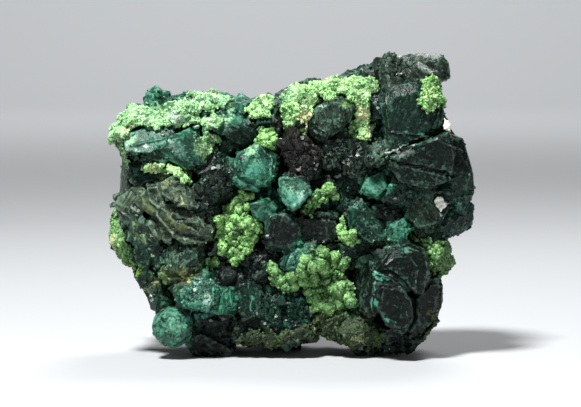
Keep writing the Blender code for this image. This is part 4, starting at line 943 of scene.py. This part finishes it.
def copies(name, models, places, sizes, turns, rng):
    """One object of many copies of the models. Places and sizes are in millimetres."""
    corners, faces, copy_of, start = [], [], [], 0
    which = rng.integers(len(models), size=len(places))
    for i, model in enumerate(models):
        own, _ = corners_of(model)
        own = own * MM
        members = np.flatnonzero(which == i)
        placed = np.einsum("nij,vj->nvi", turns[members], own) * sizes[members, None, None]
        placed += places[members, None, :]
        corners.append(placed.reshape(-1, 3))
        copy_of.append(np.repeat(members, len(own)))
        shapes = [tuple(face.vertices) for face in model.data.polygons]
        for n in range(len(members)):
            offset = start + n * len(own)
            faces.extend(tuple(offset + v for v in shape) for shape in shapes)
        start += len(members) * len(own)
    mesh = bpy.data.meshes.new(name)
    mesh.from_pydata(np.concatenate(corners) * MM, [], faces)
    obj = bpy.data.objects.new(name, mesh)
    bpy.context.scene.collection.objects.link(obj)
    return obj, np.concatenate(copy_of)


# %% [markdown]
# Small crystals mustn't hide the bayldonite. A tree of its faces quickly gives how far a place
# is from the nearest of them.

# %% Keep clear of the bayldonite
def ray_tree(names):
    """One tree of several CAD solids, for rays and for the nearest point."""
    places, shapes = [], []
    for name in names:
        mesh = nodes[name].data
        shapes.extend(tuple(len(places) + v for v in face.vertices) for face in mesh.polygons)
        places.extend(v.co.copy() for v in mesh.vertices)
    return BVHTree.FromPolygons(places, shapes)


def gaps_to(tree, places):
    """How far each place, in millimetres, is from the solids of a tree."""
    found = [tree.find_nearest(Vector(place) * MM) for place in places]
    return np.array([hit[3] / MM for hit in found])


green_tree = ray_tree([name for name in nodes if name.startswith("bayldonite")])
crystal_tree = ray_tree(["crystal_mass"])
print("trees of the bayldonite and of the crystals are ready")


# %% [markdown]
# The larger of the small crystals stand in hollows of the skin, as they do on the real piece,
# and stay out of the grooves. The tiny ones cover the rough crystals. Few of either are put on
# the back, which the photo doesn't show.

# %% Grow the smaller crystals
CRYSTAL_SEED = 11
LARGE_COUNT = 240
LARGE_SIZES = (2.2, 4.2)
MIDDLING_COUNT = 1800
MIDDLING_SIZES = (0.8, 2.3)
SMALL_COUNT = 7400
SMALL_SIZES = (0.24, 1.00)
FRONT_FROM = 6.0
CLEAR_OF_RIMS = 3.0


def sizes_between(rng, count, sizes, bias):
    """Random sizes. A bias above 1 makes the small ones more common."""
    return rng.random(count) ** bias * (sizes[1] - sizes[0]) + sizes[0]


def rough_in_view(centres, normals):
    """Where small crystals grow: on the rough crystals, and hardly on the back."""
    _, glitter = tone_at(centres)
    front = np.clip((FRONT_FROM - centres[:, 1]) / 8, 0.08, 1)
    return front * (0.02 + glitter ** 1.5)


def grow_crystals(name, models, places, sizes, brightest, rng):
    """Copies of the model crystals, with what their material reads."""
    clear = gaps_to(green_tree, places) > 0.55 * sizes
    clear &= places[:, 2] > 0.6 * sizes
    places, sizes = places[clear], sizes[clear]
    grown, copy_of = copies(name, models, places, sizes, random_turns(rng, len(places)), rng)
    stay_in_box(grown)
    tone, glitter = tone_at(places)
    stain, strength = stain_at(places, STAINS)
    tone *= rng.uniform(0.5, 1.8, (len(places), 1))
    store(grown, "tone", tone[copy_of])
    store(grown, "stain", np.column_stack([stain, strength])[copy_of])
    store(grown, "shade", brightest * rng.random(len(places))[copy_of])
    points, _ = corners_of(grown)
    store(grown, "along", points)
    return grown


def grow_in_hollows(name, count, sizes, least_hollow, sunk, rng):
    """Crystals that stand in the hollows between the big ones, sunk by a share of their size."""
    front = np.clip((FRONT_FROM - skin_points[:, 1]) / 8, 0.1, 1)
    odds = (np.clip(skin_hollow - least_hollow, 0, 0.6) + 0.1 * skin_glitter) * front
    odds *= rise_at(skin_points, CLEAR_OF_RIMS) == 0
    chosen = rng.choice(len(odds), count, replace=False, p=odds / odds.sum())
    own = sizes_between(rng, count, sizes, 2.0)
    places = skin_points[chosen] - skin_normals[chosen] * own[:, None] * sunk
    return grow_crystals(name, MODEL_CRYSTALS, places, own, brightest=0.9, rng=rng)


rng = np.random.default_rng(CRYSTAL_SEED)
large = grow_in_hollows("large_crystals", LARGE_COUNT, LARGE_SIZES, least_hollow=0.25, sunk=0.33,
                        rng=rng)
middling = grow_in_hollows("middling_crystals", MIDDLING_COUNT, MIDDLING_SIZES, least_hollow=0.05,
                           sunk=0.25, rng=rng)
places, _ = spots_on(nodes["crystal_mass"], SMALL_COUNT, rough_in_view, rng)
sizes = sizes_between(rng, SMALL_COUNT, SMALL_SIZES, 2.2)
small = grow_crystals("small_crystals", MODEL_GRAINS, places, sizes, brightest=1.0, rng=rng)


# %% [markdown]
# The tiny crystals are glossy, and a few in a hundred are painted paler as a painted sparkle.
# The larger ones are satin, because a big flat glossy face would shine as one white patch. Both
# looks come from one function.

# %% The small crystals' material
# The pale colour of a painted sparkle.
PAINTED_SPARKLE = (0.16, 0.20, 0.18)
TEAL_FLECK = (0.025, 0.058, 0.042)


def make_small_crystal_material(name, glossiest, dullest, shine):
    """A crystal look with a roughness of its own for each crystal, between two values."""
    made, tree, shader = new_material(name)
    tone = attribute(tree, "tone").outputs["Color"]
    shade = attribute(tree, "shade").outputs["Fac"]
    stain = attribute(tree, "stain")
    along = attribute(tree, "along").outputs["Vector"]
    lines = streaks(tree, along, 0.4)
    colour = blend(tree, between(tree, lines, 0.42, 0.62), tinted(tree, tone, (0.4, 0.5, 0.5)),
                   tinted(tree, tone, (2.2, 2.4, 2.3)))
    colour, _ = speckle(tree, colour, TEAL_FLECK, 0.3, 0.18)
    # Painted sparkle: the few palest crystals in a hundred turn pale.
    colour = blend(tree, between(tree, shade, 0.95, 0.99), colour, PAINTED_SPARKLE)
    colour, _ = speckle(tree, colour, stain.outputs["Color"], 0.5, stain.outputs["Alpha"])
    tree.links.new(colour, shader.inputs["Base Color"])
    roughness = put(tree, "ShaderNodeMapRange", {"Value": shade, "To Min": glossiest,
                                                 "To Max": dullest})
    tree.links.new(roughness.outputs["Result"], shader.inputs["Roughness"])
    add_bump(tree, shader, relief(tree, along, 0.2, 0.5, 0.3), 0.5, 0.12)
    shader.inputs["Specular IOR Level"].default_value = shine
    return made


satin_crystal_material = make_small_crystal_material("satin crystals", 0.36, 0.60, 0.2)
small_crystal_material = make_small_crystal_material("small glittering crystals", 0.14, 0.38, 0.3)
finish(large, satin_crystal_material, "green_crystal")
finish(middling, satin_crystal_material, "green_crystal")
finish(small, small_crystal_material, "green_crystal")


# %% [markdown]
# ## Bayldonite
# Bayldonite grows as balls that run into each other. Each crust starts as a finer copy of its
# CAD solid with a knobbly surface, and is then covered with balls. A crust has many small
# balls, a cluster fewer and larger ones. A big ball has 80 faces and a small one 20, because
# they are copied thousands of times.

# %% The model balls
def model_ball(name, rounds, uneven, seed):
    """A small sphere made uneven by a smooth noise."""
    bpy.ops.object.select_all(action="DESELECT")
    bpy.ops.mesh.primitive_ico_sphere_add(subdivisions=rounds, radius=1)
    ball = bpy.context.object
    ball.name = name
    for vertex in ball.data.vertices:
        vertex.co *= 1 + uneven * noise.noise(vertex.co * 1.3 + Vector((seed, 0, 0)))
    return ball


BIG_BALLS = [model_ball(f"ball {i}", 2, 0.42, 7.3 * i) for i in range(4)]
SMALL_BALLS = [model_ball(f"grain {i}", 1, 0.45, 5.1 * i) for i in range(4)]

print(len(BIG_BALLS), "big and", len(SMALL_BALLS), "small model balls")

# %% [markdown]
# Each green is given for the middle of a ball, for its tip, which is painted paler as a painted
# highlight, and for the gaps between balls, which are painted darker as painted shade. Each
# growth then has its green, how patchy its surface is, how many big balls it has and of which
# sizes, and the same for its small balls. Sizes are in millimetres.

# %% Every growth of bayldonite
GREENS = {
    "apple": ((0.145, 0.42, 0.10), (0.42, 0.78, 0.28), (0.006, 0.034, 0.005)),
    "leaf": ((0.044, 0.18, 0.038), (0.30, 0.60, 0.21), (0.002, 0.014, 0.002)),
    "mint": ((0.27, 0.63, 0.26), (0.60, 0.95, 0.51), (0.02, 0.10, 0.04)),
    "lime": ((0.27, 0.67, 0.20), (0.60, 0.96, 0.45), (0.02, 0.09, 0.015)),
    "olive": ((0.009, 0.030, 0.006), (0.055, 0.115, 0.025), (0.002, 0.007, 0.002)),
}
GROWTHS = {
    "crust_upper_left": ("mint", 1.3, 40, (0.25, 0.41), 3300, (0.11, 0.26)),
    "cluster_top": ("lime", 0.8, 50, (0.40, 0.80), 700, (0.14, 0.36)),
    "nodules_upper": ("apple", 0.6, 30, (0.50, 1.00), 200, (0.16, 0.40)),
    "crust_top": ("lime", 1.1, 50, (0.25, 0.41), 3300, (0.11, 0.27)),
    "nodule_upper_right": ("apple", 0.6, 20, (0.30, 0.41), 600, (0.14, 0.34)),
    "crust_left_upper": ("mint", 0.8, 15, (0.30, 0.55), 300, (0.12, 0.32)),
    "band_left": ("lime", 0.8, 20, (0.30, 0.60), 400, (0.12, 0.32)),
    "crust_left_edge": ("leaf", 1.0, 60, (0.35, 0.70), 1300, (0.12, 0.34)),
    "cluster_left": ("apple", 1.0, 120, (0.45, 0.95), 400, (0.16, 0.40)),
    "nodule_left": ("leaf", 0.3, 10, (0.50, 0.90), 60, (0.16, 0.40)),
    "nodules_centre": ("leaf", 0.6, 32, (0.50, 1.00), 160, (0.16, 0.40)),
    "cluster_centre": ("apple", 0.6, 32, (0.45, 0.95), 160, (0.16, 0.40)),
    "cluster_lower": ("leaf", 1.2, 120, (0.60, 1.50), 500, (0.18, 0.45)),
    "crust_lower_right": ("olive", 0.8, 60, (0.35, 0.70), 700, (0.14, 0.36)),
    "crust_bottom": ("olive", 0.8, 50, (0.35, 0.70), 600, (0.14, 0.36)),
    "crust_right_edge": ("leaf", 0.8, 40, (0.35, 0.70), 700, (0.14, 0.36)),
    "rim_lower_right": ("olive", 0.5, 15, (0.35, 0.60), 300, (0.14, 0.36)),
}
GREEN_STAINS = [
    ("cream", 4.2, 47.5, 3.4, 0.9), ("cream", 4.8, 44.6, 1.8, 0.9), ("cream", 15, 49, 2.6, 0.8),
    ("cream", 16, 45.5, 1.6, 0.6), ("mint", 0, 53, 4.0, 0.5), ("white", 8, 55.5, 2.6, 0.3),
    ("cream", -31.5, 46, 3.6, 0.6), ("olive", -33, 43, 3.0, 0.6), ("white", -22, 48, 4.0, 0.6),
    ("mint", -12, 51, 4.0, 0.6), ("deep", -4, 49.6, 1.6, 0.4), ("cream", 28.6, 53, 2.4, 0.5),
    ("cream", -27, 38, 2.2, 0.5), ("cream", -35.6, 23, 3.0, 0.6), ("olive", -33, 16, 3.6, 0.7),
    ("olive", -13, 28.5, 3.0, 0.5), ("deep", -9, 22, 2.6, 0.4), ("deep", 0, 15, 3.0, 0.5),
    ("deep", 12, 10, 4.0, 0.5), ("cream", 14, 4, 2.4, 0.5), ("deep", -2, 4, 3.6, 0.4),
    ("deep", 31, 20, 3.0, 0.5), ("cream", -20.5, 11, 1.6, 0.5),
]
print(len(GROWTHS), "growths in", len(GREENS), "greens")


# %% [markdown]
# A ball may only sit where the bayldonite is bare: a short ray from the surface must not run
# into the crystals. Its middle is sunk a little below the surface. The attribute tip says how
# far a point is up its ball, so that the tips can be painted pale as a painted highlight and the
# gaps between balls deep green as painted shade.

# %% Grow bayldonite over its solids
knobs = noise_texture("knobs", "VORONOI", 0.8, distance_metric="DISTANCE")
patches = noise_texture("patches", "CLOUDS", 3.0, noise_depth=2, contrast=2.2)
PATCHES_HIGH = 0.75
KNOBS_HIGH = 0.4
KNOBS_DEEP = 0.60
GRAIN_DEEP = 0.25
KNOB_ROUNDS = 6
KNOB_HEIGHT = 0.06
SMALL_SUNK = 0.25
CRUST_NET = 0.24
BARE_WITHIN = 2.0
CLUSTER_BALL = 0.42
CRUST_STYLE = {"grains": 3, "shade": 0.2, "sunk": 0.25}
CLUSTER_STYLE = {"grains": 8, "shade": 0.5, "sunk": 0.05}
FRAYED = 5.0
FRAY_DEPTH = 2.6
FRAY_SIZE = 2.6
FRAY_ABOVE = 49.5
FRAY_BESIDE = 29.0
BODY_MIDDLE = (0.0, 8.0, 28.0)


def bare(places, normals):
    """Which places look away from the crystals."""
    free = []
    for place, normal in zip(places, normals):
        start = Vector((place + normal * 0.1) * MM)
        free.append(crystal_tree.ray_cast(start, Vector(normal), BARE_WITHIN * MM)[0] is None)
    return np.array(free)


def set_balls(name, base, models, count, sizes, sunk, rng):
    """Balls over the bare part of a surface, each with its tip marked."""
    places, normals = spots_on(base, count * 2, lambda c, n: np.ones(len(c)), rng)
    radii = sizes_between(rng, len(places), sizes, 1.6)
    middles = places - normals * radii[:, None] * sunk
    free = np.flatnonzero(bare(places, normals) & (middles[:, 2] > 0.8 * radii))[:count]
    middles, normals, radii = middles[free], normals[free], radii[free]
    balls, copy_of = copies(name, models, middles, radii, random_turns(rng, len(free)), rng)
    points, _ = corners_of(balls)
    outward = (points - middles[copy_of]) / radii[copy_of, None]
    # The tip drives a painted highlight on top of each ball and painted shade at its foot.
    store(balls, "tip", np.clip((outward * normals[copy_of]).sum(axis=1), -1, 1))
    store(balls, "shade", rng.random(len(free))[copy_of])
    return balls


def fray(crust):
    """Sinks patches of a crust's back edge into the crystals, so that its edge isn't straight."""
    points, _ = corners_of(crust)
    far = np.clip((points[:, 1] - points[:, 1].max()) / FRAYED + 1, 0, 1)
    far *= np.clip(np.maximum(points[:, 2] - FRAY_ABOVE, np.abs(points[:, 0]) - FRAY_BESIDE) / 2, 0, 1)
    waves = np.array([noise.noise(Vector(p) / FRAY_SIZE) for p in points])
    inward = np.array(BODY_MIDDLE) - points
    inward /= np.linalg.norm(inward, axis=1, keepdims=True)
    sink = FRAY_DEPTH * far * np.clip(0.45 + 1.8 * waves, 0, 1)
    move_points(crust, (points + inward * sink[:, None]) * MM)


def grow(short_name, green, patchy, big_count, sizes, small_count, small_sizes, seed):
    """Dresses one growth: its knobbly skin, its balls, and what their material reads."""
    node = "bayldonite_" + short_name
    rng = np.random.default_rng(seed)
    is_cluster = sizes[0] >= CLUSTER_BALL
    style = CLUSTER_STYLE if is_cluster else CRUST_STYLE
    crust = merged_copy(node + "_growth", node)
    modify(crust, "REMESH", mode="VOXEL", voxel_size=CRUST_NET * MM)
    in_order(crust)
    modify(crust, "SMOOTH", factor=0.5, iterations=4)
    roughen(crust, patches, patchy, middle=PATCHES_HIGH)
    if not is_cluster:
        fray(crust)
    roughen(crust, knobs, -KNOBS_DEEP, middle=KNOBS_HIGH)
    roughen(crust, fine_grain, GRAIN_DEEP)
    # Knob tops are painted paler and the crust between balls darker: painted highlight and shade.
    knobbly = np.clip(bulge(crust, KNOB_ROUNDS) / KNOB_HEIGHT, -1, 1)
    store(crust, "tip", knobbly * 0.5 - style["shade"])
    store(crust, "shade", np.full(len(crust.data.vertices), 0.5))
    under = nodes[node] if is_cluster else crust
    big = set_balls(node + "_balls", under, BIG_BALLS, big_count, sizes, style["sunk"], rng)
    small = set_balls(node + "_grains", crust, SMALL_BALLS, small_count, small_sizes,
                      SMALL_SUNK, rng)
    over = set_balls(node + "_over", big, SMALL_BALLS, big_count * style["grains"], small_sizes,
                     SMALL_SUNK, rng)
    pick(crust)
    for balls in (big, small, over):
        balls.select_set(True)
    bpy.ops.object.join()
    bpy.ops.object.shade_smooth()
    stay_in_box(crust)
    points, _ = corners_of(crust)
    stain, strength = stain_at(points, GREEN_STAINS)
    store(crust, "stain", np.column_stack([stain, strength]))
    finish(crust, green_materials[green], "bayldonite", node)


# %% [markdown]
# One function makes the look of every green: deep gaps of painted shade, a middle tone and pale
# tips of painted highlight, with fine grains of the same minerals over them, darker in their
# creases as painted shade. The balls are dull, as a powdery surface is.

# %% The bayldonite materials
def make_bayldonite_material(name, middle, highlit_tips, gaps):
    made, tree, shader = new_material(name + " bayldonite")
    place = put(tree, "ShaderNodeTexCoord").outputs["Object"]
    tip = attribute(tree, "tip").outputs["Fac"]
    shade = attribute(tree, "shade").outputs["Fac"]
    # Painted shade in the gaps between balls, and a painted highlight on their tips.
    colour = blend(tree, between(tree, tip, -0.5, 0.35), gaps, middle)
    colour = blend(tree, between(tree, tip, 0.35, 1.1), colour, highlit_tips)
    colour = blend(tree, between(tree, cloud(tree, place, 3.0), 0.42, 0.64), colour,
                   blend(tree, 0.5, colour, highlit_tips))
    stain = attribute(tree, "stain")
    colour, _ = speckle(tree, colour, stain.outputs["Color"], 0.8, stain.outputs["Alpha"])
    grains = cells(tree, place, 0.42)
    # Painted shade in the creases between fine grains.
    painted_crease_shade = maths(tree, "MULTIPLY", between(tree, grains, 0.48, 0.85), 0.7)
    colour = blend(tree, painted_crease_shade, colour, gaps)
    colour, _ = speckle(tree, colour, tuple(0.45 * c for c in middle), 0.35, 0.28)
    colour, powder = speckle(tree, colour, tuple(min(1.0, 1.15 * c) for c in highlit_tips), 0.28, 0.30)
    colour = tinted(tree, colour, blend(tree, shade, (0.72, 0.74, 0.66), (1.12, 1.10, 1.08)))
    tree.links.new(colour, shader.inputs["Base Color"])
    roughness = maths(tree, "MULTIPLY_ADD", powder, 0.2, 0.55)
    tree.links.new(roughness, shader.inputs["Roughness"])
    height = maths(tree, "SUBTRACT", relief(tree, place, 0.20, 0.8, 0.0),
                   maths(tree, "MULTIPLY", grains, 0.9))
    add_bump(tree, shader, height, 0.8, 0.20)
    return made


green_materials = {
    name: make_bayldonite_material(name, *colours) for name, colours in GREENS.items()}
print("bayldonite looks:", ", ".join(green_materials))

# %% Grow each of them
for seed, (short_name, settings) in enumerate(GROWTHS.items()):
    grow(short_name, *settings, seed)


# %% [markdown]
# ## Pale grains
# Two pale grains show on the right. They are small blunt lumps, white to cream. Their solids
# are rebuilt finely and worn round by many steps of smoothing.

# %% Pale grains
PALE_NET = 0.12
PALE_ROUNDS = 25
CREAM = (0.86, 0.86, 0.72)
WHITE = (0.97, 0.97, 0.90)
DIRT = (0.50, 0.52, 0.38)


def make_pale_material():
    """White and cream grains with a little dirt between them."""
    made, tree, shader = new_material("pale cream grain")
    colour, _ = speckle(tree, CREAM, WHITE, 0.5, 0.5)
    colour, _ = speckle(tree, colour, DIRT, 0.5, 0.2)
    tree.links.new(colour, shader.inputs["Base Color"])
    shader.inputs["Roughness"].default_value = 0.5
    place = put(tree, "ShaderNodeTexCoord").outputs["Object"]
    add_bump(tree, shader, relief(tree, place, 0.4, 0.8, 0.2), 0.5, 0.12)
    return made


pale_material = make_pale_material()
for node in ("pale_grain_right", "pale_grain_upper"):
    grain = merged_copy(node + "_finished", node)
    modify(grain, "REMESH", mode="VOXEL", voxel_size=PALE_NET * MM)
    modify(grain, "SMOOTH", factor=0.5, iterations=PALE_ROUNDS)
    roughen(grain, knobs, -0.5, middle=0.4)
    roughen(grain, fine_grain, 0.3)
    pick(grain)
    bpy.ops.object.shade_smooth()
    finish(grain, pale_material, "pale_mineral", node)

# %% [markdown]
# The model crystals and balls have done their work. Only their copies stay.

# %% Clear the models away
for model in MODEL_CRYSTALS + MODEL_GRAINS + BIG_BALLS + SMALL_BALLS:
    bpy.data.objects.remove(model)

# %% [markdown]
# ## Floor, light and camera
# The floor is a plain pale sheet that bends up behind the piece. A soft lamp stands high at the
# front left, two weaker ones fill the other side and the back edge, and a fourth lights the
# sheet behind. The camera is far away with a long lens, four degrees above the level, as for a
# close-up of a small thing.

# %% The floor
def make_floor():
    """A sheet whose far edge is pulled up, with the fold bevelled to a wide bend."""
    bpy.ops.object.select_all(action="DESELECT")
    bpy.ops.mesh.primitive_plane_add(size=2.4, location=(0, 0.6, 0))
    floor = bpy.context.object
    floor.name = "floor"
    bpy.ops.object.mode_set(mode="EDIT")
    bpy.ops.mesh.select_mode(type="EDGE")
    bpy.ops.mesh.select_all(action="DESELECT")
    mesh = bmesh.from_edit_mesh(floor.data)
    max(mesh.edges, key=lambda edge: sum(v.co.y for v in edge.verts)).select_set(True)
    bmesh.update_edit_mesh(floor.data)
    bpy.ops.mesh.extrude_region_move(TRANSFORM_OT_translate={"value": (0, 0, 1.8)})
    bpy.ops.object.mode_set(mode="OBJECT")
    bpy.ops.object.transform_apply(location=True)
    modify(floor, "BEVEL", width=0.5, segments=12)
    pick(floor)
    bpy.ops.object.shade_smooth()
    made, _, shader = new_material("pale floor")
    shader.inputs["Base Color"].default_value = (0.40, 0.41, 0.42, 1)
    shader.inputs["Roughness"].default_value = 0.8
    floor.data.materials.append(made)
    floor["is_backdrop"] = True


make_floor()
print("the floor is laid")


# %% Lights
def soft_lamp(name, place, aim, size, power):
    """A round area lamp that looks at a place. Places are in metres, the power in watts."""
    data = bpy.data.lights.new(name, "AREA")
    data.shape = "DISK"
    data.size = size
    data.energy = power
    lamp = bpy.data.objects.new(name, data)
    bpy.context.scene.collection.objects.link(lamp)
    lamp.location = place
    lamp.rotation_euler = (Vector(aim) - Vector(place)).to_track_quat("-Z", "Y").to_euler()


MIDDLE = (0.0, 0.0, 0.03)
soft_lamp("key", (-0.15, -0.26, 0.55), MIDDLE, 0.11, 8.6)
soft_lamp("fill", (0.42, -0.45, 0.16), MIDDLE, 0.24, 0.5)
soft_lamp("edge", (0.10, 0.30, 0.42), MIDDLE, 0.20, 1.6)
soft_lamp("backdrop", (0.0, 0.9, 0.9), (0.0, 1.8, 0.35), 0.5, 14.0)
world = bpy.data.worlds.new("studio")
world.use_nodes = True
world.node_tree.nodes["Background"].inputs["Color"].default_value = (0.9, 0.95, 1.0, 1)
world.node_tree.nodes["Background"].inputs["Strength"].default_value = 0.05
bpy.context.scene.world = world
bpy.context.scene.view_settings.view_transform = "Standard"

# %% Camera
PHOTO_WIDTH, PHOTO_HEIGHT = 581, 407
PIXELS_PER_MM = 5.0
ORIGIN_ACROSS, ORIGIN_DOWN = 288, 358
SENSOR_WIDTH = 36
CAMERA_FAR = 0.62
CAMERA_UP = math.radians(4)
FRONT_Y = -9.0
aim = Vector(((PHOTO_WIDTH / 2 - ORIGIN_ACROSS) / PIXELS_PER_MM + VIEW_X, FRONT_Y,
              (ORIGIN_DOWN - PHOTO_HEIGHT / 2) / PIXELS_PER_MM)) * MM
data = bpy.data.cameras.new("camera")
data.sensor_width = SENSOR_WIDTH
data.lens = SENSOR_WIDTH * CAMERA_FAR / (PHOTO_WIDTH / PIXELS_PER_MM * MM)
camera = bpy.data.objects.new("camera", data)
bpy.context.scene.collection.objects.link(camera)
away = Vector((0, -math.cos(CAMERA_UP), math.sin(CAMERA_UP)))
camera.location = aim + away * CAMERA_FAR
camera.rotation_euler = (-away).to_track_quat("-Z", "Y").to_euler()
bpy.context.scene.camera = camera
print("the camera's lens is", round(data.lens), "mm long")

# %% [markdown]
# ## Print the size and finish
# The dressed piece must stay in the CAD model's box, so both boxes are printed.

# %% Write the sizes and finish
dressed_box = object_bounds()
for axis, low, high, low_cad, high_cad in zip("xyz", *dressed_box, *cad_box):
    print(axis, "box in mm:", [round(v / MM, 2) for v in (low, high, low_cad, high_cad)])
